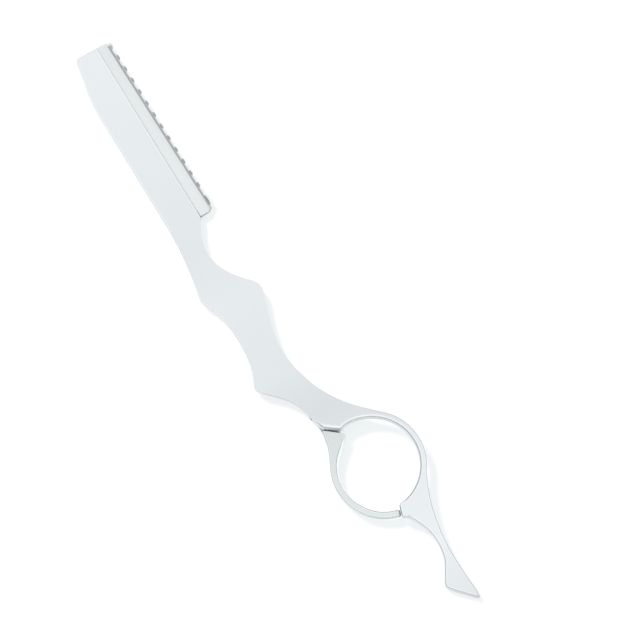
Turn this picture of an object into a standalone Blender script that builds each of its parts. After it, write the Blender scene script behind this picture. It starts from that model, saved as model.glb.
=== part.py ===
"""Hair thinning razor: two steel leaves clamp a comb-guarded blade cartridge.

The upper leaf carries the upper jaw, the wavy grip, the right half of the finger
ring and the tail. The lower leaf carries the lower jaw and the left half ring, and
rocks on a cross pin in the neck. The cartridge slides out of the open tip.

Sizes are in metres. While the pieces are laid out, X runs towards the tail from the
pivot pin, Y towards the blade's edge and Z up from the table. The finished razor is
then centred over its own footprint.
"""

import math

import bmesh
import bpy
from mathutils import Matrix, Vector

# Heights of the two leaves
CLAMP_THICKNESS = 0.0014
LEAF_GAP = 0.001
MAIN_THICKNESS = 0.0022
CLAMP_INSET = 0.001
TOP_ROUND = 0.00035
FOOT_ROUND = 0.00025
RING_ROUND = 0.0008
SLIT_ROUND = 0.0006

# Cartridge: folded holder, comb strip and blade
CARTRIDGE_LENGTH = 0.063
HOLDER_SHEET = 0.0003
HOLDER_BACK = -0.0015
HOLDER_TOP_FLANK = 0.0077
HOLDER_FOOT_FLANK = 0.0062
HOLDER_COIN_WIDTH = 0.0014
HOLDER_COIN_DROP = 0.00018
NOTCH_SIZE = 0.002
NOTCH_Y = 0.0016
COMB_SHEET = 0.00025
COMB_ROOT_Y = 0.0032
COMB_VALLEY = 0.0008
COMB_LOBES = 14
TIP_LOBE_SETBACK = 0.0013
HEEL_LOBE_SETBACK = 0.0033
HEEL_LOBE_WIDTH = 0.005
HEEL_LOBE_SPACE = 0.006
HEEL_HOLE_WIDTH = 0.0036
END_LOBE_REACH = 0.0018
TOOTH_REACH = 0.0016
TOOTH_WIDTH = 0.0026
TOOTH_HOLE_WIDTH = 0.0016
TOOTH_HOLE_DEPTH = 0.0005
HEEL_CORNER = 0.0008
BLADE_SHEET = 0.0002
BLADE_BACK_Y = 0.0005
BLADE_REACH = 0.0005
BLADE_GRIND = 0.0009
BLADE_END_GAP = 0.0023
SHEET_GAP = 0.0001
SEAT_GAP = 0.0003

# Upper leaf in plan
GRIP_LENGTH = 0.0689
TIP_OVERHANG = 0.0007
KNUCKLE_REACH = 0.0109
RING_FRONT_X = 0.0077
RING_Y = 0.0055
RING_RADIUS = 0.0137
RING_BAND = 0.002
TAIL_REACH = 0.0472
SLIT_WIDTH = 0.0006

# Left half ring, the lever of the lower leaf
LEVER_SHIFT_X = 0.0017
LEVER_SHIFT_Y = 0.003
LEVER_STEP_OUT = 0.00135
LEVER_INNER_SHIFT_X = 0.0025
LEVER_INNER_SHIFT_Y = 0.00245
LEVER_STEP_IN = 0.0014
LEVER_STEM_X = 0.0008
LEVER_STEM_Y = -0.001
LEVER_THICKNESS = 0.0024
LEVER_DROP = 0.0014
LEVER_RIM_ROUND = 0.001

# Hinge in the neck
PIN_RADIUS = 0.00055
PIN_CLEARANCE = 0.00008
PIN_HEAD = 0.0003
PIN_HEAD_RADIUS = 0.00085
PIN_HEIGHT = 0.00115
BARREL_RADIUS = 0.0011
BARREL_LOW_Y = -0.0002
BARREL_HIGH_Y = 0.0044
EAR_GAP = 0.0003
EAR_THICKNESS = 0.001
EAR_BACK_X = -0.0032
BRACKET_SHEET = 0.0004
BRACKET_GAP = 0.00005
BRACKET_LENGTH = 0.0085
BRACKET_LIP_X = -0.0015
RIVET_RADIUS = 0.0005
RIVET_CLEARANCE = 0.00005
RIVET_HEAD_RADIUS = 0.00095
RIVET_HEAD = 0.0003
RIVET_DEPTH = 0.0011
RIVET_FRONT_X = -0.007
RIVET_FRONT_Y = 0.0002
RIVET_REAR_X = -0.0044
RIVET_REAR_Y = 0.0014
PEG_RADIUS = 0.0007
PEG_DEPTH = 0.00075

# Spring wound round the pin between the two knuckles of the lower leaf
WINDOW_BACK_X = -0.0014
WINDOW_FRONT_X = 0.0034
WINDOW_WALL = 0.001
COIL_RADIUS = 0.00085
WIRE_RADIUS = 0.0002
COIL_TURNS = 3.5
COIL_MARGIN = 0.0004
LEG_REACH = 0.0064

# Bow of the handle above the table
BOW_START = -0.014
BOW_CREST = 0.018
BOW_RISE = 0.002
BOW_STEP = 0.003
TAIL_CLEARANCE = 0.00025

# Heights and places that follow from the sizes above
MAIN_LOW = CLAMP_THICKNESS + LEAF_GAP
MAIN_TOP = MAIN_LOW + MAIN_THICKNESS
HEEL_X = -GRIP_LENGTH
CARTRIDGE_TIP_X = HEEL_X - CARTRIDGE_LENGTH
TIP_X = CARTRIDGE_TIP_X + TIP_OVERHANG
RING_X = RING_FRONT_X + RING_RADIUS
TAIL_X = RING_X + TAIL_REACH
HOLDER_LOW = CLAMP_THICKNESS + SEAT_GAP
COMB_LOW = HOLDER_LOW + HOLDER_SHEET + SHEET_GAP
BLADE_LOW = COMB_LOW + COMB_SHEET + SHEET_GAP
HOLDER_ROOF = BLADE_LOW + BLADE_SHEET + SHEET_GAP
HOLDER_TOP = HOLDER_ROOF + HOLDER_SHEET
HOLDER_EDGE_Y = HOLDER_BACK + HOLDER_TOP_FLANK
POCKET_ROOF = HOLDER_TOP + SEAT_GAP
LEVER_TOP = MAIN_TOP - LEVER_DROP
LEVER_X = RING_X + LEVER_SHIFT_X
LEVER_Y = RING_Y + LEVER_SHIFT_Y
LEVER_OUTER = RING_RADIUS + LEVER_STEP_OUT
LEVER_INNER_X = RING_X + LEVER_INNER_SHIFT_X
LEVER_INNER_Y = RING_Y + LEVER_INNER_SHIFT_Y
LEVER_RADIUS = RING_RADIUS - LEVER_STEP_IN
BRACKET_LOW = MAIN_LOW - BRACKET_GAP - BRACKET_SHEET
BORE_RADIUS = PIN_RADIUS + PIN_CLEARANCE
EAR_LOW_Y = BARREL_LOW_Y - EAR_GAP - EAR_THICKNESS
EAR_HIGH_Y = BARREL_HIGH_Y + EAR_GAP + EAR_THICKNESS
PEG_X = HEEL_X - NOTCH_SIZE / 2
RIVET_SPOTS = {"front": (RIVET_FRONT_X, RIVET_FRONT_Y), "rear": (RIVET_REAR_X, RIVET_REAR_Y)}

# How far cutters run past a face, how close counts as on a line, and what merges
CUT_PAST = 0.003
NEAR = 0.0002
MERGE = 1e-7


def bow_curve(x):
    """Height that the smooth bow adds at x: flat jaws, a crest at the ring, a low tail."""
    if x <= BOW_START:
        return 0.0
    if x < BOW_CREST:
        share = (x - BOW_START) / (BOW_CREST - BOW_START)
        return BOW_RISE * share * share * (3 - 2 * share)
    share = (x - BOW_CREST) / (TAIL_X - BOW_CREST)
    fall = BOW_RISE + MAIN_LOW - TAIL_CLEARANCE
    return BOW_RISE - fall * share * share * (2 - share)


def bow(x):
    """Bow height at x, straight between its stations so that each strip stays flat."""
    if x <= BOW_START:
        return 0.0
    station = math.floor((x - BOW_START) / BOW_STEP)
    start = BOW_START + station * BOW_STEP
    share = (x - start) / BOW_STEP
    return bow_curve(start) * (1 - share) + bow_curve(start + BOW_STEP) * share


def arc(centre, radius, first, last, step=6.0):
    """Points on a circle from the first to the last angle in degrees, ends included."""
    count = max(1, round(abs(last - first) / step))
    angles = [math.radians(first + (last - first) * k / count) for k in range(count + 1)]
    return [(centre[0] + radius * math.cos(a), centre[1] + radius * math.sin(a)) for a in angles]


def smooth(points, steps=3):
    """Points on a curve that passes through all the given ones, ends included."""
    ends = [points[0], *points, points[-1]]
    out = [points[0]]
    for before, start, end, after in zip(ends, ends[1:], ends[2:], ends[3:]):
        for k in range(1, steps + 1):
            t = k / steps
            out.append(
                tuple(
                    0.5
                    * (
                        2 * b
                        + (c - a) * t
                        + (2 * a - 5 * b + 4 * c - d) * t * t
                        + (3 * b - a - 3 * c + d) * t * t * t
                    )
                    for a, b, c, d in zip(before, start, end, after)
                )
            )
    return out


def inset(points, distance):
    """An open line of points moved to its left by the distance."""
    out = []
    for k, (x, y) in enumerate(points):
        before = points[max(k - 1, 0)]
        after = points[min(k + 1, len(points) - 1)]
        run = Vector((after[0] - before[0], after[1] - before[1])).normalized()
        out.append((x - run.y * distance, y + run.x * distance))
    return out


def line_meets_circle(point, heading, centre, radius):
    """Angle in degrees, seen from the centre, where a line leaves the circle forwards."""
    offset = Vector(point) - Vector(centre)
    along = offset.dot(heading)
    reach = math.sqrt(along * along - offset.length_squared + radius * radius) - along
    hit = offset + reach * heading
    return math.degrees(math.atan2(hit.y, hit.x))


def by_grip(points):
    """Places given as (share of the grip back from the pin, share of the knuckles' reach)."""
    return [(HEEL_X * x, KNUCKLE_REACH * y) for x, y in points]


def by_jaw(points):
    """Places given as (share of the cartridge from the tip, share of the knuckles' reach)."""
    return [(TIP_X + CARTRIDGE_LENGTH * x, KNUCKLE_REACH * y) for x, y in points]


def by_ring(points):
    """Places given from the ring's centre, in shares of its radius."""
    return [(RING_X + RING_RADIUS * x, RING_Y + RING_RADIUS * y) for x, y in points]


def by_tail(points):
    """Places given from the ring's centre as (share of the tail's reach, share of the radius)."""
    return [(RING_X + TAIL_REACH * x, RING_Y + RING_RADIUS * y) for x, y in points]


# Corners at the two slits of the ring
SLIT_FOOT, SLIT_HEAD, LEVER_CORNER = by_ring([(-1.177, -0.459), (-0.935, -0.142), (-0.832, -0.088)])
SLIT_HEADING = (Vector(SLIT_HEAD) - Vector(SLIT_FOOT)).normalized()
SHOULDER_ANGLE = 3.6
SHOULDER_LENGTH = 0.0037
SHOULDER_HEADING = Vector((math.cos(math.radians(-19)), math.sin(math.radians(-19))))

JAW_SPINE = [
    *by_jaw([(0.0, -0.358), (0.021, -0.44)]),
    *smooth(by_jaw([(0.114, -0.525), (0.21, -0.633), (0.305, -0.68)])),
]
GRIP_SPINE = [
    *smooth(by_grip([(1.016, -0.706), (0.9, -0.75), (0.8, -0.832), (0.711, -0.93)])),
    *by_grip([(0.668, -1.0)]),
    *smooth(
        by_grip(
            [
                (0.652, -0.977),
                (0.595, -0.83),
                (0.53, -0.72),
                (0.45, -0.69),
                (0.37, -0.718),
                (0.295, -0.812),
                (0.245, -0.945),
            ]
        )
    ),
    *by_grip([(0.226, -1.0), (0.21, -1.0)]),
    *smooth(
        by_grip([(0.192, -0.925), (0.145, -0.625), (0.087, -0.35), (0.028, -0.208), (-0.029, -0.135)])
    ),
]
GRIP_FRONT = [
    *smooth(
        by_grip(
            [
                (-0.078, 1.073),
                (-0.029, 0.821),
                (0.028, 0.593),
                (0.094, 0.393),
                (0.16, 0.27),
                (0.232, 0.168),
                (0.3, 0.14),
                (0.37, 0.19),
                (0.435, 0.292),
                (0.508, 0.447),
                (0.556, 0.562),
                (0.591, 0.592),
                (0.624, 0.508),
                (0.668, 0.262),
                (0.718, 0.042),
                (0.766, -0.095),
                (0.81, -0.158),
                (0.864, -0.143),
                (0.929, -0.014),
                (0.972, 0.124),
                (0.997, 0.215),
            ]
        )
    ),
    *by_jaw([(0.0, 0.275)]),
]


def on_ring(angle):
    return arc((RING_X, RING_Y), RING_RADIUS, angle, angle)[0]


def main_outline():
    """Plan of the upper leaf, counter-clockwise from its tip."""
    shoulder = on_ring(SHOULDER_ANGLE)
    shoulder_end = tuple(Vector(shoulder) + SHOULDER_LENGTH * SHOULDER_HEADING)
    return [
        *JAW_SPINE,
        *GRIP_SPINE,
        SLIT_FOOT,
        SLIT_HEAD,
        *arc((RING_X, RING_Y), RING_RADIUS, 182, SHOULDER_ANGLE, 5),
        shoulder_end,
        *smooth(
            by_tail(
                [
                    (0.392, 0.102),
                    (0.475, 0.241),
                    (0.553, 0.31),
                    (0.638, 0.307),
                    (0.712, 0.241),
                    (0.775, 0.109),
                    (0.824, 0.007),
                ]
            )
        ),
        *by_tail([(0.839, -0.011), (0.856, 0.0), (0.87, 0.036), (0.994, 0.431), (1.0, 0.489)]),
        *smooth(
            by_tail(
                [
                    (0.945, 0.496),
                    (0.818, 0.467),
                    (0.648, 0.471),
                    (0.521, 0.526),
                    (0.394, 0.628),
                    (0.288, 0.766),
                ]
            )
        ),
        *arc((RING_X, RING_Y), RING_RADIUS + RING_BAND, 52, 139),
        *GRIP_FRONT,
    ]


def main_rim(x, y):
    """Rounding of the upper leaf's top edge: widest inside the ring, less at the slit."""
    if abs(math.hypot(x - RING_X, y - RING_Y) - RING_RADIUS) < NEAR:
        return RING_ROUND
    across = Vector((x, y)) - Vector(SLIT_FOOT)
    if abs(across.cross(SLIT_HEADING)) < NEAR and abs(across.dot(SLIT_HEADING)) < RING_RADIUS / 2:
        return SLIT_ROUND
    return TOP_ROUND


def clamp_outline():
    """Plan of the lower leaf without its lever: the upper leaf's, drawn in, with a neck."""
    end = EAR_BACK_X - 2 * EAR_GAP
    spine = [p for p in inset([*JAW_SPINE, *GRIP_SPINE], CLAMP_INSET) if p[0] < end]
    front = [p for p in inset(GRIP_FRONT, CLAMP_INSET) if p[0] < end]
    neck_back = EAR_BACK_X - EAR_GAP
    neck_front = BARREL_RADIUS + EAR_GAP
    return [
        *spine,
        (neck_back, spine[-1][1]),
        (neck_back, BARREL_LOW_Y),
        (neck_front, BARREL_LOW_Y),
        (neck_front + LEVER_STEM_X, LEVER_STEM_Y),
        *by_ring([(-1.124, -0.482), (-0.905, -0.5), (-0.759, -0.518)]),
        *by_ring([(-0.759, -0.255), (-0.861, -0.168), (-1.007, -0.146), (-1.161, -0.095)]),
        (neck_front, BARREL_HIGH_Y),
        (neck_back, BARREL_HIGH_Y),
        *front,
    ]


def lever_outline():
    """Plan of the left half ring, from the front slit round to the shoulder of the tail."""
    centre = (LEVER_X, LEVER_Y)
    aside = Vector((SLIT_HEADING.y, -SLIT_HEADING.x))
    foot = tuple(Vector(SLIT_FOOT) + SLIT_WIDTH * aside)
    below = Vector((SHOULDER_HEADING.y, -SHOULDER_HEADING.x))
    end_line = Vector(on_ring(SHOULDER_ANGLE)) + SLIT_WIDTH * below
    outer_end = line_meets_circle(end_line, SHOULDER_HEADING, centre, LEVER_OUTER)
    inner_centre = (LEVER_INNER_X, LEVER_INNER_Y)
    inner_end = line_meets_circle(end_line, SHOULDER_HEADING, inner_centre, LEVER_RADIUS)
    return [
        foot,
        *smooth(by_ring([(-0.978, -0.518), (-0.81, -0.555), (-0.642, -0.624)])),
        *arc(centre, LEVER_OUTER, -121, outer_end),
        *arc(inner_centre, LEVER_RADIUS, inner_end, -143),
        *by_ring([(-0.727, -0.2)]),
        LEVER_CORNER,
    ]


def lever_rim(x, y):
    """Rounding of the lever's top edge: broad along the inside of the ring."""
    if abs(math.hypot(x - LEVER_INNER_X, y - LEVER_INNER_Y) - LEVER_RADIUS) < NEAR:
        return LEVER_RIM_ROUND
    return TOP_ROUND


def slab(outline, low, high, rim=None, foot_round=0.0):
    """Closed plate over an outline, bowed, with the widths of its roundings on its edges."""
    shell = bmesh.new()
    shell.faces.new([shell.verts.new((x, y, low)) for x, y in outline])
    x = BOW_START
    while x < TAIL_X:
        bmesh.ops.bisect_plane(
            shell,
            geom=[*shell.verts, *shell.edges, *shell.faces],
            dist=MERGE,
            plane_co=(x, 0, 0),
            plane_no=(1, 0, 0),
        )
        x += BOW_STEP
    grown = bmesh.ops.extrude_face_region(shell, geom=shell.faces[:])["geom"]
    raised = [v for v in grown if isinstance(v, bmesh.types.BMVert)]
    bmesh.ops.translate(shell, verts=raised, vec=(0, 0, high - low))
    bmesh.ops.recalc_face_normals(shell, faces=shell.faces[:])
    if rim:
        weigh_edges(shell, low, high, rim, foot_round)
    lift(shell)
    return shell


def weigh_edges(shell, low, high, rim, foot_round):
    """Gives each outline edge its rounding as a share of the broadest one."""
    weights = shell.edges.layers.float.new("bevel_weight_edge")
    for edge in shell.edges:
        start, end = (v.co for v in edge.verts)
        walls = [f for f in edge.link_faces if abs(f.normal.z) < 0.5]
        if len(walls) != 1:
            continue
        middle = (start + end) / 2
        width = rim(middle.x, middle.y) if middle.z > (low + high) / 2 else foot_round
        edge[weights] = width / LEVER_RIM_ROUND


def lift(shell):
    """Raises each vertex by the bow at its place."""
    for vertex in shell.verts:
        vertex.co.z += bow(vertex.co.x)


def side_slab(profile, low_y, high_y):
    """Closed piece with an (x, z) profile, drawn out along Y and bowed."""
    shell = bmesh.new()
    shell.faces.new([shell.verts.new((x, low_y, z)) for x, z in profile])
    grown = bmesh.ops.extrude_face_region(shell, geom=shell.faces[:])["geom"]
    moved = [v for v in grown if isinstance(v, bmesh.types.BMVert)]
    bmesh.ops.translate(shell, verts=moved, vec=(0, high_y - low_y, 0))
    bmesh.ops.recalc_face_normals(shell, faces=shell.faces[:])
    lift(shell)
    return shell


def long_slab(profile, low_x, high_x):
    """Closed piece with a (y, z) profile, drawn out along X."""
    shell = bmesh.new()
    shell.faces.new([shell.verts.new((low_x, y, z)) for y, z in profile])
    grown = bmesh.ops.extrude_face_region(shell, geom=shell.faces[:])["geom"]
    moved = [v for v in grown if isinstance(v, bmesh.types.BMVert)]
    bmesh.ops.translate(shell, verts=moved, vec=(high_x - low_x, 0, 0))
    bmesh.ops.recalc_face_normals(shell, faces=shell.faces[:])
    return shell


def box(low, high):
    """Closed box between two corners."""
    shell = bmesh.new()
    bmesh.ops.create_cube(shell, size=1)
    size = [b - a for a, b in zip(low, high)]
    middle = [(a + b) / 2 for a, b in zip(low, high)]
    bmesh.ops.scale(shell, verts=shell.verts[:], vec=size)
    bmesh.ops.translate(shell, verts=shell.verts[:], vec=middle)
    return shell


def turned(profile, sides=32):
    """Closed turned piece from (radius, height) pairs that start and end on the axis."""
    shell = bmesh.new()
    points = [shell.verts.new((radius, 0, height)) for radius, height in profile]
    edges = [shell.edges.new(pair) for pair in zip(points, points[1:])]
    bmesh.ops.spin(
        shell,
        geom=[*points, *edges],
        cent=(0, 0, 0),
        axis=(0, 0, 1),
        angle=math.tau,
        steps=sides,
        use_merge=True,
    )
    bmesh.ops.remove_doubles(shell, verts=shell.verts[:], dist=MERGE)
    bmesh.ops.recalc_face_normals(shell, faces=shell.faces[:])
    return shell


def upright(shell, x, y):
    """Stands a turned piece at (x, y) and bows it."""
    bmesh.ops.translate(shell, verts=shell.verts[:], vec=(x, y, 0))
    lift(shell)
    return shell


def rod(radius, low, high):
    return turned([(0, low), (radius, low), (radius, high), (0, high)])


def along_pin(shell):
    """Lays a turned piece on the pin's axis, its heights becoming Y."""
    bmesh.ops.rotate(shell, verts=shell.verts[:], matrix=Matrix.Rotation(-math.pi / 2, 3, "X"))
    bmesh.ops.translate(shell, verts=shell.verts[:], vec=(0, 0, PIN_HEIGHT + bow(0)))
    return shell


def new_collection(name):
    collection = bpy.data.collections.new(name)
    bpy.context.scene.collection.children.link(collection)
    return collection


def finish(name, colour, roughness):
    """Bare metal of one colour and polish."""
    material = bpy.data.materials.new(name)
    material.use_nodes = True
    surface = material.node_tree.nodes["Principled BSDF"]
    surface.inputs["Base Color"].default_value = (*colour, 1)
    surface.inputs["Metallic"].default_value = 1.0
    surface.inputs["Roughness"].default_value = roughness
    return material


def add(name, shell, parent, collection, material=None):
    """Object from a shell, hung on its parent where it stands."""
    hung = bpy.data.objects.new(name, bpy.data.meshes.new(name))
    if parent.parent:
        bmesh.ops.translate(shell, verts=shell.verts[:], vec=-parent.location)
    shell.to_mesh(hung.data)
    shell.free()
    collection.objects.link(hung)
    hung.parent = parent
    if material:
        hung.data.materials.append(material)
        hung.data.shade_smooth()
        hung.data.set_sharp_from_angle(angle=math.radians(30))
    return hung


def add_cutter(name, shell, parent, collection):
    cutter = add(name, shell, parent, collection)
    cutter.hide_render = True
    cutter.display_type = "WIRE"
    return cutter


def round_edges(piece):
    """Rounds the weighed edges; the broadest rounding is the lever's inner rim."""
    bevel = piece.modifiers.new("round edges", "BEVEL")
    bevel.limit_method = "WEIGHT"
    bevel.width = LEVER_RIM_ROUND
    bevel.segments = 3
    bevel.use_clamp_overlap = False


def combine(piece, operation, other):
    boolean = piece.modifiers.new(f"{operation.lower()} {other.name}", "BOOLEAN")
    boolean.solver = "EXACT"
    boolean.operation = operation
    boolean.object = other


def add_empty(name, spot, parent, collection):
    """Frame on a joint's axis."""
    empty = bpy.data.objects.new(name, None)
    empty.empty_display_size = RING_BAND
    empty.location = spot
    empty.parent = parent
    collection.objects.link(empty)
    return empty


def holder_profile():
    """(y, z) section of the folded holder, open towards the edge, with a coined lip."""
    inner = HOLDER_BACK + HOLDER_SHEET
    coin = HOLDER_EDGE_Y - HOLDER_COIN_WIDTH
    foot_edge = HOLDER_BACK + HOLDER_FOOT_FLANK
    fold = (HOLDER_TOP - HOLDER_LOW) / 2
    back = arc((HOLDER_BACK + fold, HOLDER_LOW + fold), fold, 90, 270, 30)
    return [
        *back,
        (foot_edge, HOLDER_LOW),
        (foot_edge, HOLDER_LOW + HOLDER_SHEET),
        (inner + fold / 2, HOLDER_LOW + HOLDER_SHEET),
        (inner, HOLDER_LOW + fold),
        (inner + fold / 2, HOLDER_ROOF),
        (HOLDER_EDGE_Y, HOLDER_ROOF),
        (HOLDER_EDGE_Y, HOLDER_TOP - HOLDER_COIN_DROP),
        (coin, HOLDER_TOP),
    ]


def comb_lobes():
    """(x, half width, reach, hole width) of each lobe of the comb, from the heel."""
    heel_x = HEEL_X - HEEL_LOBE_SETBACK
    tip_x = CARTRIDGE_TIP_X + TIP_LOBE_SETBACK
    teeth = COMB_LOBES - 2
    pitch = (heel_x - HEEL_LOBE_SPACE - tip_x) / teeth
    tooth = (TOOTH_WIDTH / 2, TOOTH_REACH, TOOTH_HOLE_WIDTH)
    return [
        (heel_x, HEEL_LOBE_WIDTH / 2, END_LOBE_REACH, HEEL_HOLE_WIDTH),
        *[(tip_x + pitch * k, *tooth) for k in range(teeth, 0, -1)],
        (tip_x, TIP_LOBE_SETBACK, END_LOBE_REACH, 0),
    ]


def comb_outline():
    """Plan of the comb strip: a straight root, half-oval lobes and a clipped heel corner."""
    valley = HOLDER_EDGE_Y + COMB_VALLEY
    edge = []
    for x, half, reach, _ in comb_lobes():
        for angle in range(0, 181, 20):
            turn = math.radians(angle)
            out = (reach - COMB_VALLEY) * math.sin(turn)
            edge.append((x + half * math.cos(turn), valley + out))
    root = [(CARTRIDGE_TIP_X, COMB_ROOT_Y), (HEEL_X, COMB_ROOT_Y)]
    return [*root, (HEEL_X, HOLDER_EDGE_Y - HEEL_CORNER), *edge]


def ear_profile():
    """(x, z) section of a bracket ear: a strap down from the base, round the pin."""
    return [
        (EAR_BACK_X, BRACKET_LOW + BRACKET_SHEET),
        (EAR_BACK_X, BRACKET_LOW - BRACKET_SHEET),
        *arc((0, PIN_HEIGHT), BARREL_RADIUS, 210, 360, 15),
        (BARREL_RADIUS, BRACKET_LOW + BRACKET_SHEET),
    ]


def spring_path():
    """Wire from under the upper leaf, round the pin and down onto the lower leaf."""
    low_y = BARREL_LOW_Y + WINDOW_WALL + COIL_MARGIN
    high_y = BARREL_HIGH_Y - WINDOW_WALL - COIL_MARGIN
    crown = PIN_HEIGHT + COIL_RADIUS
    under_main = MAIN_LOW - WIRE_RADIUS - BRACKET_GAP
    over_clamp = CLAMP_THICKNESS + WIRE_RADIUS + BRACKET_GAP
    rest_x = WINDOW_FRONT_X - COIL_MARGIN
    path = [(LEG_REACH, high_y, under_main), (rest_x, high_y, crown), (COIL_RADIUS, high_y, crown)]
    steps = round(16 * COIL_TURNS)
    for k in range(steps + 1):
        share = k / steps
        turn = math.pi / 2 + math.tau * COIL_TURNS * share
        y = high_y + (low_y - high_y) * share
        across = COIL_RADIUS * math.cos(turn)
        up = COIL_RADIUS * math.sin(turn)
        path.append((across, y, PIN_HEIGHT + up))
    root = PIN_HEIGHT - COIL_RADIUS
    path += [(COIL_RADIUS, low_y, root), (rest_x, low_y, over_clamp), (LEG_REACH, low_y, over_clamp)]
    level = bow(0)
    return [(x, y, z + (level if x < COIL_RADIUS else bow(x))) for x, y, z in path]


def wire(path, radius):
    """Closed round wire along a path."""
    curve = bpy.data.curves.new("wire", "CURVE")
    curve.dimensions = "3D"
    curve.bevel_depth = radius
    curve.bevel_resolution = 2
    curve.use_fill_caps = True
    line = curve.splines.new("POLY")
    line.points.add(len(path) - 1)
    for point, spot in zip(line.points, path):
        point.co = (*spot, 1)
    drawn = bpy.data.objects.new("wire", curve)
    mesh = bpy.data.meshes.new_from_object(drawn)
    shell = bmesh.new()
    shell.from_mesh(mesh)
    bmesh.ops.remove_doubles(shell, verts=shell.verts[:], dist=MERGE)
    bmesh.ops.recalc_face_normals(shell, faces=shell.faces[:])
    bpy.data.objects.remove(drawn)
    bpy.data.curves.remove(curve)
    bpy.data.meshes.remove(mesh)
    return shell


def build_main(root, razor, cutters, steel):
    """Upper leaf with the cartridge pocket and the blind holes of peg and rivets."""
    main = add(
        "main_leaf",
        slab(main_outline(), MAIN_LOW, MAIN_TOP, main_rim, FOOT_ROUND),
        root,
        razor,
        steel,
    )
    round_edges(main)
    for name, (x, y) in RIVET_SPOTS.items():
        hole = rod(RIVET_RADIUS + RIVET_CLEARANCE, BRACKET_LOW - CUT_PAST, MAIN_LOW + RIVET_DEPTH)
        cutter = add_cutter(f"rivet_{name}_cutter", upright(hole, x, y), root, cutters)
        combine(main, "DIFFERENCE", cutter)
    pocket = box(
        (CARTRIDGE_TIP_X - CUT_PAST, HOLDER_BACK - SEAT_GAP, MAIN_LOW - CUT_PAST),
        (HEEL_X + SEAT_GAP, HOLDER_EDGE_Y + CUT_PAST, POCKET_ROOF),
    )
    combine(main, "DIFFERENCE", add_cutter("pocket_cutter", pocket, root, cutters))
    peg_hole = rod(PEG_RADIUS + RIVET_CLEARANCE, MAIN_LOW, POCKET_ROOF + PEG_DEPTH + RIVET_CLEARANCE)
    peg_hole = add_cutter("peg_cutter", upright(peg_hole, PEG_X, NOTCH_Y), root, cutters)
    combine(main, "DIFFERENCE", peg_hole)
    return main


def build_clamp(hinge, razor, cutters, steel):
    """Lower leaf: plate, lever and the knuckle on the pin."""
    clamp = add(
        "clamp_leaf",
        slab(clamp_outline(), 0, CLAMP_THICKNESS, lambda x, y: FOOT_ROUND, FOOT_ROUND),
        hinge,
        razor,
        steel,
    )
    round_edges(clamp)
    lever_low = LEVER_TOP - LEVER_THICKNESS
    lever = slab(lever_outline(), lever_low, LEVER_TOP, lever_rim, FOOT_ROUND)
    lever = add_cutter("lever_form", lever, hinge, cutters)
    round_edges(lever)
    combine(clamp, "UNION", lever)
    barrel = along_pin(rod(BARREL_RADIUS, BARREL_LOW_Y, BARREL_HIGH_Y))
    combine(clamp, "UNION", add_cutter("barrel_form", barrel, hinge, cutters))
    window = box(
        (WINDOW_BACK_X, BARREL_LOW_Y + WINDOW_WALL, -CUT_PAST),
        (WINDOW_FRONT_X, BARREL_HIGH_Y - WINDOW_WALL, MAIN_TOP),
    )
    combine(clamp, "DIFFERENCE", add_cutter("window_cutter", window, hinge, cutters))
    bore = along_pin(rod(BORE_RADIUS, EAR_LOW_Y - CUT_PAST, EAR_HIGH_Y + CUT_PAST))
    combine(clamp, "DIFFERENCE", add_cutter("knuckle_bore_cutter", bore, hinge, cutters))
    return clamp


def build_bracket(root, razor, cutters, steel):
    """Pressed bracket: a base riveted under the neck and two ears round the pin."""
    base = [
        (-BRACKET_LENGTH, EAR_LOW_Y),
        (BRACKET_LIP_X, EAR_LOW_Y),
        (BRACKET_LIP_X, EAR_HIGH_Y),
        (EAR_BACK_X, EAR_HIGH_Y),
        (-BRACKET_LENGTH, EAR_HIGH_Y / 2),
    ]
    bracket = add(
        "pivot_bracket",
        slab(base, BRACKET_LOW, BRACKET_LOW + BRACKET_SHEET),
        root,
        razor,
        steel,
    )
    for name, low_y in (("spine", EAR_LOW_Y), ("blade", EAR_HIGH_Y - EAR_THICKNESS)):
        ear = side_slab(ear_profile(), low_y, low_y + EAR_THICKNESS)
        combine(bracket, "UNION", add_cutter(f"{name}_ear_form", ear, root, cutters))
    bore = along_pin(rod(BORE_RADIUS, EAR_LOW_Y - CUT_PAST, EAR_HIGH_Y + CUT_PAST))
    combine(bracket, "DIFFERENCE", add_cutter("ear_bore_cutter", bore, root, cutters))
    for name in RIVET_SPOTS:
        combine(bracket, "DIFFERENCE", bpy.data.objects[f"rivet_{name}_cutter"])
    return bracket


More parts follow.
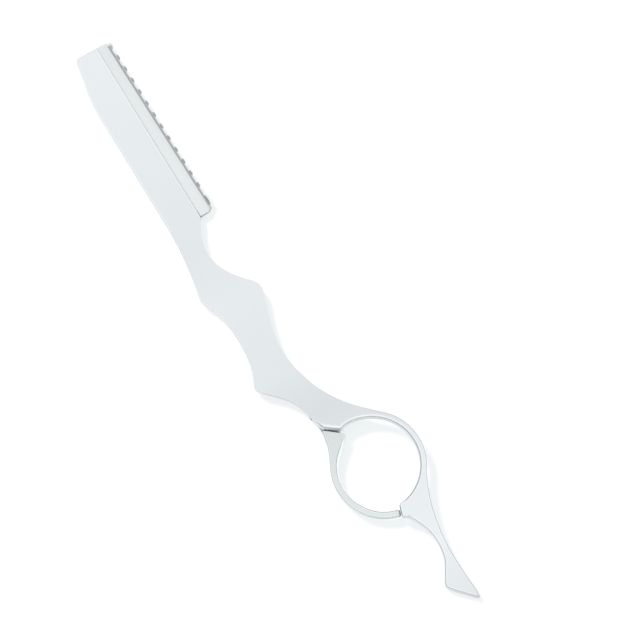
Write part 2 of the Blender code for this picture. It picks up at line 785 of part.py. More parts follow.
def build_fixings(root, razor, steel):
    """Pin with peened ends, two blind rivets and the heel peg."""
    low = EAR_LOW_Y - RIVET_CLEARANCE
    high = EAR_HIGH_Y + RIVET_CLEARANCE
    pin = [
        (0, low - PIN_HEAD),
        (PIN_HEAD_RADIUS, low - PIN_HEAD),
        (PIN_HEAD_RADIUS, low),
        (PIN_RADIUS, low),
        (PIN_RADIUS, high),
        (PIN_HEAD_RADIUS, high),
        (PIN_HEAD_RADIUS, high + PIN_HEAD),
        (0, high + PIN_HEAD),
    ]
    add("pivot_pin", along_pin(turned(pin)), root, razor, steel)
    head_top = BRACKET_LOW - RIVET_CLEARANCE
    rivet = [
        (0, head_top - RIVET_HEAD),
        (RIVET_HEAD_RADIUS * 0.7, head_top - RIVET_HEAD),
        (RIVET_HEAD_RADIUS, head_top - RIVET_HEAD / 2),
        (RIVET_HEAD_RADIUS, head_top),
        (RIVET_RADIUS, head_top),
        (RIVET_RADIUS, MAIN_LOW + RIVET_DEPTH - RIVET_CLEARANCE),
        (0, MAIN_LOW + RIVET_DEPTH - RIVET_CLEARANCE),
    ]
    for name, (x, y) in RIVET_SPOTS.items():
        add(f"bracket_rivet_{name}", upright(turned(rivet), x, y), root, razor, steel)
    peg = rod(PEG_RADIUS, HOLDER_LOW, POCKET_ROOF + PEG_DEPTH)
    add("heel_peg", upright(peg, PEG_X, NOTCH_Y), root, razor, steel)


def build_cartridge(slide, razor, cutters, holder_steel, comb_steel, blade_steel):
    """Folded holder with a notch in each end, comb strip and ground blade."""
    holder = add(
        "cartridge_holder",
        long_slab(holder_profile(), CARTRIDGE_TIP_X, HEEL_X),
        slide,
        razor,
        holder_steel,
    )
    for name, end in (("tip", CARTRIDGE_TIP_X), ("heel", HEEL_X)):
        notch = box(
            (end - NOTCH_SIZE, NOTCH_Y - NOTCH_SIZE / 2, HOLDER_LOW - CUT_PAST),
            (end + NOTCH_SIZE, NOTCH_Y + NOTCH_SIZE / 2, HOLDER_TOP + CUT_PAST),
        )
        combine(holder, "DIFFERENCE", add_cutter(f"{name}_notch_cutter", notch, slide, cutters))
    corner = [
        (HEEL_X - HEEL_CORNER - CUT_PAST, HOLDER_EDGE_Y + CUT_PAST),
        (HEEL_X + CUT_PAST, HOLDER_EDGE_Y - HEEL_CORNER - CUT_PAST),
        (HEEL_X + CUT_PAST, HOLDER_EDGE_Y + CUT_PAST),
    ]
    corner = slab(corner, HOLDER_LOW - CUT_PAST, HOLDER_TOP + CUT_PAST)
    combine(holder, "DIFFERENCE", add_cutter("heel_corner_cutter", corner, slide, cutters))
    comb = slab(comb_outline(), COMB_LOW, COMB_LOW + COMB_SHEET)
    comb = add("comb_guard", comb, slide, razor, comb_steel)
    holes = bmesh.new()
    hole_y = HOLDER_EDGE_Y + BLADE_REACH + TOOTH_HOLE_DEPTH / 2
    for x, _, _, width in comb_lobes()[:-1]:
        spot = Matrix.Translation((x, hole_y, COMB_LOW + COMB_SHEET / 2))
        shape = Matrix.Diagonal((width, TOOTH_HOLE_DEPTH, 1, 1))
        bmesh.ops.create_cone(
            holes,
            cap_ends=True,
            segments=12,
            radius1=0.5,
            radius2=0.5,
            depth=CUT_PAST,
            matrix=spot @ shape,
        )
    combine(comb, "DIFFERENCE", add_cutter("tooth_hole_cutters", holes, slide, cutters))
    edge_y = HOLDER_EDGE_Y + BLADE_REACH
    middle = BLADE_LOW + BLADE_SHEET / 2
    blade = [
        (BLADE_BACK_Y, BLADE_LOW),
        (edge_y - BLADE_GRIND, BLADE_LOW),
        (edge_y, middle),
        (edge_y - BLADE_GRIND, BLADE_LOW + BLADE_SHEET),
        (BLADE_BACK_Y, BLADE_LOW + BLADE_SHEET),
    ]
    tip = CARTRIDGE_TIP_X + BLADE_END_GAP
    add("blade", long_slab(blade, tip, HEEL_X - BLADE_END_GAP), slide, razor, blade_steel)


def main():
    for old in list(bpy.data.objects):
        bpy.data.objects.remove(old)
    razor = new_collection("hair_thinning_razor")
    cutters = new_collection("cutters")
    outline = main_outline()
    centre_x = (CARTRIDGE_TIP_X + TAIL_X) / 2
    centre_y = (min(y for _, y in outline) + max(y for _, y in outline)) / 2
    root = add_empty("razor", (-centre_x, -centre_y, 0), None, razor)
    pin_middle = (EAR_LOW_Y + EAR_HIGH_Y) / 2
    hinge = add_empty("clamp_hinge", (0, pin_middle, PIN_HEIGHT + bow(0)), root, razor)
    slide_spot = (HEEL_X, (HOLDER_BACK + HOLDER_EDGE_Y) / 2, (HOLDER_LOW + HOLDER_TOP) / 2)
    slide = add_empty("cartridge_slide", slide_spot, root, razor)
    satin = finish("satin_steel", (0.80, 0.81, 0.82), 0.42)
    build_main(root, razor, cutters, satin)
    build_clamp(hinge, razor, cutters, satin)
    build_bracket(root, razor, cutters, finish("pressed_steel", (0.62, 0.63, 0.65), 0.45))
    build_fixings(root, razor, finish("turned_steel", (0.66, 0.67, 0.69), 0.3))
    spring_steel = finish("spring_steel", (0.45, 0.46, 0.48), 0.35)
    add("torsion_spring", wire(spring_path(), WIRE_RADIUS), root, razor, spring_steel)
    build_cartridge(
        slide,
        razor,
        cutters,
        finish("holder_steel", (0.76, 0.77, 0.79), 0.35),
        finish("comb_steel", (0.72, 0.73, 0.75), 0.3),
        finish("blade_steel", (0.42, 0.44, 0.47), 0.25),
    )


main()
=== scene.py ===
"""Dressed scene for the hair thinning razor: two satin steel leaves and their cartridge.

Plan shapes are laid out in metres from the pivot pin, as in the part's source: X runs
towards the tail, Y towards the blade's edge, Z up from the table. Every finished mesh
is then moved by PIN_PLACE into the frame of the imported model.
"""

import logging
import math
from dataclasses import dataclass, field
from enum import Enum

import bmesh
import bpy
import numpy as np
from mathutils import Matrix, Vector


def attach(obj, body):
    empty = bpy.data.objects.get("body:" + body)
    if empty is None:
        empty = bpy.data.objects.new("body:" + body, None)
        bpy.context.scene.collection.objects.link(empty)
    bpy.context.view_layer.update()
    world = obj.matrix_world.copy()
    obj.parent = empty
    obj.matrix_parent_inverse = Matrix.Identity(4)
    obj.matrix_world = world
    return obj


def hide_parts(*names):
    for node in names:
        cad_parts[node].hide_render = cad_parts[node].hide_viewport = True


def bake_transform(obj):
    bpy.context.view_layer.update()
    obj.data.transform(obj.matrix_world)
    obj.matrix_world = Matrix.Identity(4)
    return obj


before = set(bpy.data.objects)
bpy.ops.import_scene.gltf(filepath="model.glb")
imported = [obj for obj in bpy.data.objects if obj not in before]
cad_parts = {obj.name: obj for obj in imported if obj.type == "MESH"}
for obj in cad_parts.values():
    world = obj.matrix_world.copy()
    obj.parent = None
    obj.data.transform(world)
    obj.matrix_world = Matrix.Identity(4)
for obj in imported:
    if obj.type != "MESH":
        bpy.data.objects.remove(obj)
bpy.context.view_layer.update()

Array = np.ndarray
log = logging.getLogger("thinning_razor")

# The pin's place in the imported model, its height before the bow, and the space
# between neighbouring rows of a plate
PIN_PLACE = np.array([0.03165, -0.005149, 0.0])
PIN_HEIGHT = 0.00115
ROW_GAP = 0.0003

# Points closer than this merge, and edges steeper than this angle stay sharp
MERGE = 2e-6
SHARP = math.radians(34)


class Body(Enum):
    """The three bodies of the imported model."""

    UPPER = "upper"
    LOWER = "lower"
    CARTRIDGE = "cartridge"


# Curves


def spline(points: Array, steps: int = 8) -> Array:
    """Curve through the points.

    Each span is a cubic whose slope at either end is half the chord between the
    neighbouring points (Catmull-Rom).

    Args:
        points: Rows of (x, y).
        steps: Samples on each span.

    Returns:
        Rows of (x, y), both ends included.
    """
    points = np.asarray(points, float)
    held = np.vstack([points[:1], points, points[-1:]])
    a, b, c, d = held[:-3], held[1:-2], held[2:-1], held[3:]
    t = (np.arange(steps) / steps)[:, None, None]
    bends = (2 * a - 5 * b + 4 * c - d) * t**2 + (3 * b - a - 3 * c + d) * t**3
    spans = 0.5 * (2 * b + (c - a) * t + bends)
    return np.vstack([spans.transpose(1, 0, 2).reshape(-1, 2), points[-1:]])


def arc(centre: Array, radius: float, first: float, last: float) -> Array:
    """Circle samples: centre plus radius times (cosine, sine) of each angle.

    Args:
        centre: Middle of the circle.
        radius: Its radius.
        first: First angle in degrees.
        last: Last angle in degrees.

    Returns:
        Rows of (x, y), about one for each degree.
    """
    angles = np.radians(np.linspace(first, last, round(abs(last - first)) + 1))
    return centre + radius * np.column_stack([np.cos(angles), np.sin(angles)])


def spot(centre: Array, radius: float, angle: float) -> Array:
    """Point at an angle in degrees on a circle, as the only sample of an arc."""
    return arc(centre, radius, angle, angle)[0]


def inset(points: Array, distance: float) -> Array:
    """Open line moved to its left: each point plus distance times its left normal."""
    held = np.vstack([points[:1], points, points[-1:]])
    run = held[2:] - held[:-2]
    run /= np.linalg.norm(run, axis=1, keepdims=True)
    return points + distance * np.column_stack([-run[:, 1], run[:, 0]])


def clustered(count: int) -> Array:
    """Shares from 0 to 1 that crowd at both ends: half of one minus a cosine."""
    return 0.5 - 0.5 * np.cos(np.linspace(0, math.pi, count))


def swell(share: Array) -> Array:
    """Smooth step from 0 to 1: three squares minus two cubes of the clipped share."""
    held = np.clip(share, 0, 1)
    return held * held * (3 - 2 * held)


@dataclass(frozen=True)
class Bow:
    """Bow of both leaves above the table, as a height for each x."""

    start: float = -0.014
    crest: float = 0.018
    tail: float = 0.0686
    rise: float = 0.002
    fall: float = 0.00415

    def height(self, x: float | Array) -> float | Array:
        """Smooth step up to the crest, less fall times s squared times (2 - s) beyond it."""
        climb = swell((x - self.start) / (self.crest - self.start))
        drop = np.clip((x - self.crest) / (self.tail - self.crest), 0, None)
        return self.rise * climb - self.fall * drop**2 * (2 - drop)


BOW = Bow()
PIN_LEVEL = PIN_HEIGHT + BOW.height(0.0)


@dataclass(frozen=True)
class Plan:
    """Plan sizes that both leaves share, and places given in shares of them."""

    cartridge: float = 0.063
    grip: float = 0.0689
    overhang: float = 0.0007
    knuckles: float = 0.0109
    ring_front: float = 0.0077
    ring_y: float = 0.0055
    ring_radius: float = 0.0137
    ring_band: float = 0.002
    tail_reach: float = 0.0472
    slit: float = 0.0006
    shoulder_angle: float = 3.6
    shoulder_length: float = 0.0037
    shoulder_heading: float = -19.0

    @property
    def tip_x(self) -> float:
        """Free end of the jaws."""
        return self.overhang - self.grip - self.cartridge

    @property
    def ring(self) -> Array:
        """Middle of the finger ring."""
        return np.array([self.ring_front + self.ring_radius, self.ring_y])

    def by_grip(self, shares: list) -> Array:
        """Shares of the grip back from the pin, and of the knuckles' reach."""
        return np.asarray(shares) * [-self.grip, self.knuckles]

    def by_jaw(self, shares: list) -> Array:
        """Shares of the cartridge from the tip, and of the knuckles' reach."""
        return np.asarray(shares) * [self.cartridge, self.knuckles] + [self.tip_x, 0]

    def by_ring(self, shares: list) -> Array:
        """Shares of the ring's radius from its middle."""
        return np.asarray(shares) * self.ring_radius + self.ring

    def by_tail(self, shares: list) -> Array:
        """Shares of the tail's reach and of the ring's radius, from the ring's middle."""
        return np.asarray(shares) * [self.tail_reach, self.ring_radius] + self.ring

    def on_ring(self, angle: float, past: float = 0.0) -> Array:
        """Point at an angle in degrees on the ring's inner circle, or past it."""
        return spot(self.ring, self.ring_radius + past, angle)

    def shoulder_way(self) -> Array:
        """Unit heading of the short edge where the ring meets the tail."""
        return spot(np.zeros(2), 1.0, self.shoulder_heading)

    def shoulder(self) -> Array:
        """Both ends of that short edge."""
        start = self.on_ring(self.shoulder_angle)
        return np.array([start, start + self.shoulder_length * self.shoulder_way()])

    def slit_corners(self) -> Array:
        """Foot and head of the front slit, and the lever's corner across it."""
        return self.by_ring([(-1.177, -0.459), (-0.935, -0.142), (-0.832, -0.088)])

    def spine(self) -> Array:
        """Back edge from the tip, over both humps, to the front slit."""
        jaw = self.by_jaw([(0.114, -0.525), (0.21, -0.633), (0.305, -0.68)])
        blade_back = [(1.016, -0.706), (0.9, -0.75), (0.8, -0.832), (0.711, -0.93)]
        hollow = [(0.652, -0.977), (0.595, -0.83), (0.53, -0.72), (0.45, -0.69)]
        hollow += [(0.37, -0.718), (0.295, -0.812), (0.245, -0.945)]
        neck = [(0.192, -0.925), (0.145, -0.625), (0.087, -0.35), (0.028, -0.208)]
        neck += [(-0.029, -0.135)]
        return np.vstack(
            [
                self.by_jaw([(0.0, -0.358), (0.021, -0.44)]),
                spline(jaw),
                spline(self.by_grip(blade_back)),
                self.by_grip([(0.668, -1.0)]),
                spline(self.by_grip(hollow)),
                self.by_grip([(0.226, -1.0), (0.21, -1.0)]),
                spline(self.by_grip(neck)),
            ]
        )

    def front(self) -> Array:
        """Front edge from the ring back to the tip."""
        shares = [(-0.078, 1.073), (-0.029, 0.821), (0.028, 0.593), (0.094, 0.393)]
        shares += [(0.16, 0.27), (0.232, 0.168), (0.3, 0.14), (0.37, 0.19)]
        shares += [(0.435, 0.292), (0.508, 0.447), (0.556, 0.562), (0.591, 0.592)]
        shares += [(0.624, 0.508), (0.668, 0.262), (0.718, 0.042), (0.766, -0.095)]
        shares += [(0.81, -0.158), (0.864, -0.143), (0.929, -0.014), (0.972, 0.124)]
        shares += [(0.997, 0.215)]
        return np.vstack([spline(self.by_grip(shares)), self.by_jaw([(0.0, 0.275)])])


PLAN = Plan()


@dataclass(frozen=True)
class Stretch:
    """Stretch of an outline: its points and what its top edge is like.

    Softness runs from 0 to 1 and widens a corner. Shade runs from 0 to 1 and paints
    shade on the wall. A flank is a slanting face that takes the place of the rounding as
    its share goes from 0 to 1.
    """

    points: Array
    rim: float
    soft: float = 0.0
    shade: float = 0.0
    flank: float = 0.0


class Contour:
    """Closed plan outline, counter-clockwise, with softened corners.

    The polygon is sampled at even steps of its length. The samples are blurred along
    the outline by a bell curve, narrow everywhere and broad at the corners marked
    soft. So each corner turns in an arc that is wider than the rim rounded over it,
    and the rim can be drawn in along the normals without folding.
    """

    STEP = 0.00005
    FINE = 0.0003
    BROAD = 0.0009

    def __init__(self, stretches: list[Stretch]) -> None:
        """Samples and blurs the outline, BROAD where the softness is 1 and FINE elsewhere.

        Args:
            stretches: The stretches in turn.
        """
        parts = [np.reshape(stretch.points, (-1, 2)) for stretch in stretches]
        corners = np.vstack(parts)
        kinds = [(part.soft, part.rim, part.shade, part.flank) for part in stretches]
        traits = np.repeat(kinds, [len(part) for part in parts], axis=0)
        traits = np.vstack([traits, traits[:1]])
        closed = np.vstack([corners, corners[:1]])
        reach = np.r_[0, np.cumsum(np.linalg.norm(np.diff(closed, axis=0), axis=1))]
        self.length = reach[-1]
        self.count = round(self.length / self.STEP)
        self.s = np.arange(self.count) * self.length / self.count
        raw = np.column_stack([np.interp(self.s, reach, closed[:, k]) for k in (0, 1)])
        spread = np.column_stack([np.interp(self.s, reach, trait) for trait in traits.T])
        share = self.blurred(spread[:, 0], self.BROAD)
        plain = self.blurred(raw, self.FINE)
        self.xy = plain + (self.blurred(raw, self.BROAD) - plain) * share[:, None]
        run = np.roll(self.xy, -1, axis=0) - np.roll(self.xy, 1, axis=0)
        run /= np.linalg.norm(run, axis=1, keepdims=True)
        self.out = np.column_stack([run[:, 1], -run[:, 0]])
        self.traits = self.blurred(spread[:, 1:], self.FINE)

    def blurred(self, values: Array, width: float) -> Array:
        """Values round the outline convolved with a bell curve of that width."""
        waves = np.fft.rfftfreq(self.count, self.length / self.count)
        bell = np.exp(-2 * (math.pi * waves * width) ** 2)
        bell = bell.reshape(-1, *[1] * (values.ndim - 1))
        return np.fft.irfft(np.fft.rfft(values, axis=0) * bell, self.count, axis=0)

    def sample(self, s: Array) -> tuple[Array, Array, Array]:
        """Places, outward normals and (rim, shade, flank) at lengths s along the outline."""
        table = np.column_stack([self.xy, self.out, self.traits])
        read = [np.interp(s, self.s, column, period=self.length) for column in table.T]
        return np.column_stack(read[:2]), np.column_stack(read[2:4]), np.array(read[4:])

    def near(self, x: float, y: float) -> float:
        """Length along the outline of the sample nearest to a point."""
        return float(self.s[np.argmin(np.hypot(*(self.xy - [x, y]).T))])

    def crossing(self, x: float, front: bool) -> float:
        """Length where the outline crosses x, at its highest or its lowest y."""
        here, there = self.xy[:, 0] - x, np.roll(self.xy[:, 0], -1) - x
        hits = np.flatnonzero((here * there <= 0) & (here != there))
        heights = self.xy[hits, 1]
        hit = hits[np.argmax(heights) if front else np.argmin(heights)]
        part = here[hit] / (here[hit] - there[hit])
        return float(self.s[hit] + part * self.length / self.count)

    def place(self, where: float | Array, front: bool) -> float:
        """Length at the sample nearest to a point, or where an edge crosses an x."""
        return self.near(*where) if np.ndim(where) else self.crossing(where, front)


# Shells


@dataclass
class Shell:
    """Closed surface as arrays, with named masks on its points."""

    points: Array
    faces: Array
    masks: dict[str, Array] = field(default_factory=dict)

    def mesh(self, name: str) -> bpy.types.Mesh:
        """Puts the arrays into a new mesh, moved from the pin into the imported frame.

        Args:
            name: Name of the mesh.

        Returns:
            The mesh, with coincident points merged and empty faces gone.
        """
        mesh = bpy.data.meshes.new(name)
        mesh.from_pydata((self.points + PIN_PLACE).tolist(), [], self.faces.tolist())
        for title, values in self.masks.items():
            mesh.attributes.new(title, "FLOAT", "POINT").data.foreach_set("value", values)
        clean = bmesh.new()
        clean.from_mesh(mesh)
        bmesh.ops.remove_doubles(clean, verts=clean.verts[:], dist=MERGE)
        bmesh.ops.dissolve_degenerate(clean, edges=clean.edges[:], dist=MERGE)
        clean.to_mesh(mesh)
        clean.free()
        return mesh


def quads(index: Array) -> Array:
    """Faces between neighbours of an index grid, turning from rows towards columns."""
    corners = [index[:-1, :-1], index[1:, :-1], index[1:, 1:], index[:-1, 1:]]
    return np.stack(corners, axis=-1).reshape(-1, 4)


def revolve(profile: Array, sides: int = 48) -> Shell:
    """Turned piece: (radius, height) carried round the Z axis, poles merged later.

    Args:
        profile: Rows of (radius, height) from the lower pole to the upper one.
        sides: Steps round the axis.

    Returns:
        The closed shell.
    """
    profile = np.asarray(profile, float)
    turn = np.linspace(0, math.tau, sides + 1)
    grid = np.stack(
        [
            profile[:, :1] * np.cos(turn),
            profile[:, :1] * np.sin(turn),
            np.repeat(profile[:, 1:], sides + 1, axis=1),
        ],
        axis=-1,
    )
    index = np.arange(grid[..., 0].size).reshape(grid.shape[:2])
    return Shell(grid.reshape(-1, 3), quads(index.T))


def rounded_profile(corners: Array, radius: float, steps: int = 5) -> Array:
    """Open profile whose inner corners are swapped for quadratic arcs.

    Each corner becomes the curve (1-t)^2 a + 2 t (1-t) corner + t^2 b, between points
    that lie the radius before and after it, or half an edge if that is shorter.

    Args:
        corners: Rows of (u, v).
        radius: Reach of each arc along its edges.
        steps: Samples on an arc.

    Returns:
        Rows of (u, v).
    """
    corners = np.asarray(corners, float)
    before, here, after = corners[:-2], corners[1:-1], corners[2:]
    back, on = before - here, after - here
    far_back = np.linalg.norm(back, axis=1, keepdims=True)
    far_on = np.linalg.norm(on, axis=1, keepdims=True)
    a = here + back * np.minimum(radius / far_back, 0.5)
    b = here + on * np.minimum(radius / far_on, 0.5)
    t = np.linspace(0, 1, steps)[:, None, None]
    curve = (1 - t) ** 2 * a + 2 * t * (1 - t) * here + t**2 * b
    return np.vstack([corners[:1], curve.transpose(1, 0, 2).reshape(-1, 2), corners[-1:]])


def lathed(corners: list, rounding: float) -> Shell:
    """Turned shell of rounded (radius, height) corners, closed at both ends of the axis."""
    profile = [(0, corners[0][1]), *corners, (0, corners[-1][1])]
    return revolve(rounded_profile(profile, rounding))


def along_pin(shell: Shell) -> Shell:
    """Turned shell laid on the pin's axis, its heights becoming Y."""
    x, y, z = shell.points.T
    shell.points = np.column_stack([x, z, PIN_LEVEL - y])
    return shell


def standing(shell: Shell, place: tuple[float, float]) -> Shell:
    """Turned shell stood at (x, y) and raised by the bow there."""
    shell.points = shell.points + [*place, BOW.height(place[0])]
    return shell


def tube(path: Array, radius: float, sides: int = 14) -> Shell:
    """Round wire: a circle carried along a path, square to it, with domed ends.

    Args:
        path: Rows of (x, y, z); the path is never parallel to Y.
        radius: Radius of the wire.
        sides: Steps round the wire.

    Returns:
        The closed shell.
    """
    run = np.gradient(path, axis=0)
    run /= np.linalg.norm(run, axis=1, keepdims=True)
    side = np.array([0.0, 1.0, 0.0]) - run * run[:, 1:2]
    side /= np.linalg.norm(side, axis=1, keepdims=True)
    up = np.cross(run, side)
    steps = 4
    dome = np.linspace(0, math.pi / 2, steps + 1)[:-1]
    ahead = np.r_[-np.cos(dome), np.zeros(len(path)), np.cos(dome[::-1])]
    width = np.r_[np.sin(dome), np.ones(len(path)), np.sin(dome[::-1])]
    rows = np.pad(np.arange(len(path)), steps, "edge")
    turn = np.linspace(0, math.tau, sides + 1)[None, :, None]
    middle = path[rows] + radius * ahead[:, None] * run[rows]
    ring = np.cos(turn) * side[rows][:, None] + np.sin(turn) * up[rows][:, None]
    grid = middle[:, None] + radius * width[:, None, None] * ring
    index = np.arange(grid[..., 0].size).reshape(grid.shape[:2])
    return Shell(grid.reshape(-1, 3), quads(index))


@dataclass
class Pocket:
    """Step in a plate's underside: higher by the jaw's front, from the tip to the heel."""

    wall_y: float
    roof: float
    rows: int


@dataclass
class Plate:
    """Bowed plate over an outline, with rounded rims.

    Rows run across the plate, each from a point on the back edge to one on the front
    edge. The caps are grids on these rows. The rim is a profile carried round the
    outline: a quarter circle at the foot, the wall, and a quarter circle of the local
    rim width at the top. Where the outline has a flank, the profile there is a slope
    of the rim's width that drops by the flank's depth and eases into the top over the
    reach of flank_ease. The masks carry painted shade that varies by shares given
    along X, painted shade on shaded walls, on flanks and where a flank meets the top,
    and a painted highlight near the top of the rounding and over flanks.
    """

    FLANK_POWER = 1.8
    FLANK_END = 0.8
    # Painted highlight along the rounding: the sine of the turn where it peaks, and its spread
    HIGHLIGHT_SINE = 0.97
    HIGHLIGHT_SPREAD = 0.06
    FOOT_WEAR = 0.4
    TIP_SAMPLES = 400

    contour: Contour
    back: Array
    front: Array
    low: float
    high: float
    foot: float = 0.00025
    flank_depth: float = 0.0
    flank_ease: float = 0.0002
    # Painted shade along the line where a flank meets the top
    painted_crease_shade: float = 0.18
    columns: int = 12
    bends: int = 8
    pocket: Pocket | None = None
    # Painted shade along X: the places, and the share of the falloff tone at each
    falloff_x: tuple = (-0.125, -0.06, -0.04, 0.0, 0.05, 0.068)
    falloff_share: tuple = (0.0, 0.6, 0.45, 0.85, 0.35, 0.9)

    @classmethod
    def over(cls, contour: Contour, matches: list, spacing: float, **sizes: float) -> "Plate":
        """Plate whose rows lie evenly between matched places on the two edges.

        Args:
            contour: The outline.
            matches: Pairs of a back and a front place, from the first row. A place is
                a point by the edge, or the x at which the edge is crossed.
            spacing: Most that neighbouring rows lie apart.
            sizes: The other fields.

        Returns:
            The plate.
        """
        ends = np.array([[contour.place(b, False), contour.place(f, True)] for b, f in matches])
        if ends[0, 0] > contour.length / 2:
            ends[0, 0] -= contour.length
        counts = np.ceil(np.abs(np.diff(ends, axis=0)).max(axis=1) / spacing).astype(int)
        stops = np.r_[0, np.cumsum(counts)]
        every = np.arange(stops[-1] + 1)
        back, front = (np.interp(every, stops, ends[:, k]) for k in (0, 1))
        return cls(contour, back, front, **sizes)

    def split_shares(self, wall: float | Array) -> Array:
        """Shares across a row that crowd at both ends and at the pocket's wall."""
        split = self.columns // 2
        parts = [wall * clustered(split), wall + (1 - wall) * clustered(self.columns - split)]
        return np.concatenate(parts, axis=-1)

    def loop(self) -> tuple[Array, Array]:
        """Lengths all round the outline, and the height of the underside at each."""
        rows, width = len(self.back), self.columns
        first = self.back[0] + self.contour.length
        shares = clustered(width)
        end = self.back[-1] + (self.front[-1] - self.back[-1]) * shares
        if self.pocket:
            along = np.linspace(first, self.front[0], self.TIP_SAMPLES)
            y = self.contour.sample(along)[0][:, 1]
            wall = np.interp(self.pocket.wall_y, y, np.linspace(0, 1, self.TIP_SAMPLES))
            shares = self.split_shares(wall)
        tip = first + (self.front[0] - first) * shares
        lengths = np.concatenate([self.back, end[1:-1], self.front[::-1], tip[-2:0:-1]])
        low = np.full(len(lengths), self.low)
        if self.pocket:
            corner = 2 * rows + width - 2
            low[corner - self.pocket.rows : corner + width - width // 2 - 1] = self.pocket.roof
        return lengths, low

    def rings(
        self, low: Array, rim: Array, shade: Array, flank: Array
    ) -> tuple[Array, Array, dict[str, Array]]:
        """Profile of the rim at every place round the outline.

        Args:
            low: Height of the underside.
            rim: Width of the rounding.
            shade: How much shade is painted on the wall.
            flank: Share of the slanting face.

        Returns:
            How far each ring is drawn in and how high it lies, a row for each ring, and
            the masks.
        """
        turn = np.linspace(0, math.pi / 2, self.bends)[:, None]
        sine, cosine = np.sin(turn), np.cos(turn)
        slope = 1 - (1 - np.linspace(0, 1, self.bends)[:, None]) ** self.FLANK_POWER
        left = 1 - slope / self.FLANK_END
        drop = np.hypot(left, self.flank_ease / rim) + left
        drop = (drop - drop[-1]) / (drop[0] - drop[-1])
        across = rim * ((1 - cosine) * (1 - flank) + slope * flank)
        inward = np.vstack([self.foot * (1 - sine) + 0 * rim, across])
        top = self.high - rim * (1 - sine) * (1 - flank) - self.flank_depth * drop * flank
        heights = np.vstack([low + self.foot * (1 - cosine), top])

        ring = np.arange(2 * self.bends)[:, None]
        on_wall = ring <= self.bends
        on_flank = ~on_wall & (ring < 2 * self.bends - 1)
        by_crease = on_flank & (ring >= 2 * self.bends - 3)
        rub = np.sin(2 * turn) + 0 * rim
        # Painted highlight near the top of the rounding, and over the whole flank
        crest = np.exp(-(((sine - self.HIGHLIGHT_SINE) / self.HIGHLIGHT_SPREAD) ** 2)) * (1 - flank)
        # Painted shade on shaded walls and flanks, and a thin line of it where a flank meets the top
        dark = shade * (on_wall + on_flank * flank)
        masks = {
            "rim": np.vstack([self.FOOT_WEAR * rub, rub]),
            "crest": np.vstack([0 * crest, crest + (slope < self.FLANK_END) * flank]),
            "hollow": np.maximum(dark, self.painted_crease_shade * flank * by_crease),
        }
        return inward, heights, masks

    def cap(self, plan: Array, edge: Array, first: int, under: bool) -> tuple[Array, Array]:
        """Flat face inside a ring of the rim, as a grid on the rows.

        Where there is a pocket, one column follows its wall, and beyond the wall the
        underside lies at its roof.

        Args:
            plan: Places (x, y) of the ring.
            edge: Numbers of the ring's points.
            first: Number of the first new point.
            under: Whether it is the underside.

        Returns:
            The new points, and the number of every point of the grid.
        """
        rows, width = len(self.back), self.columns
        far_start = rows + width - 2
        near, far = plan[:rows], plan[far_start:][:rows][::-1]
        shares = np.tile(clustered(width), (rows, 1))
        z = np.full((rows, width), self.low if under else self.high)
        if self.pocket:
            held = self.pocket.rows + 1
            wall = (self.pocket.wall_y - near[:held, 1]) / (far[:held, 1] - near[:held, 1])
            shares[:held] = self.split_shares(wall[:, None])
            if under:
                z[: self.pocket.rows, width // 2 :] = self.pocket.roof
        grid = near[:, None] + (far - near)[:, None] * shares[..., None]
        inner = np.dstack([grid, z + BOW.height(grid[..., 0])])[1:-1, 1:-1].reshape(-1, 3)
        index = np.empty((rows, width), int)
        index[1:-1, 1:-1] = first + np.arange(len(inner)).reshape(rows - 2, width - 2)
        index[:, 0] = edge[:rows]
        index[-1, 1:-1] = edge[rows:far_start]
        index[:, -1] = edge[far_start:][:rows][::-1]
        index[0, 1:-1] = edge[far_start + rows :][::-1]
        return inner, index

    def shell(self) -> Shell:
        """Rim rings and both caps, sharing their edges."""
        lengths, low = self.loop()
        place, out, traits = self.contour.sample(lengths)
        inward, heights, masks = self.rings(low, *traits)
        plan = place - inward[..., None] * out
        rim = np.dstack([plan, heights + BOW.height(plan[..., 0])]).reshape(-1, 3)
        index = np.arange(len(rim)).reshape(heights.shape)
        under, under_index = self.cap(plan[0], index[0], len(rim), True)
        top, top_index = self.cap(plan[-1], index[-1], len(rim) + len(under), False)
        points = np.vstack([rim, under, top])
        around = quads(np.column_stack([index, index[:, :1]]).T)
        faces = np.vstack([around, quads(under_index.T), quads(top_index)])
        inside = np.zeros(len(under) + len(top))
        masks = {title: np.r_[values.ravel(), inside] for title, values in masks.items()}
        # Painted shade that varies along X, deepest at the neck and the tail's end
        masks["painted_falloff"] = np.interp(points[:, 0], self.falloff_x, self.falloff_share)
        return Shell(points, faces, masks)


class Cut(Enum):
    """How a second shell changes the first."""

    JOIN = "UNION"
    TAKE = "DIFFERENCE"


def new_object(name: str, data: bpy.types.ID) -> bpy.types.Object:
    """New object for a mesh, camera or lamp, linked into the scene."""
    made = bpy.data.objects.new(name, data)
    bpy.context.scene.collection.objects.link(made)
    return made


def combined(name: str, base: Shell, others: list[tuple[Cut, Shell]]) -> bpy.types.Mesh:
    """Mesh of a shell joined with some and cut by others.

    Args:
        name: Name of the mesh.
        base: The first shell.
        others: What is done with each other shell, in turn.

    Returns:
        The closed mesh.
    """
    holder = new_object(name, base.mesh(name))
    tools = []
    for cut, shell in others:
        tool = new_object(f"{name}_tool", shell.mesh(f"{name}_tool"))
        tools.append(tool)
        step = holder.modifiers.new(cut.name, "BOOLEAN")
        step.solver = "EXACT"
        step.operation = cut.value
        step.object = tool
    ready = holder.evaluated_get(bpy.context.evaluated_depsgraph_get())
    made = bpy.data.meshes.new_from_object(ready)
    for used in [holder, *tools]:
        old = used.data
        bpy.data.objects.remove(used)
        bpy.data.meshes.remove(old)
    made.name = name
    return made


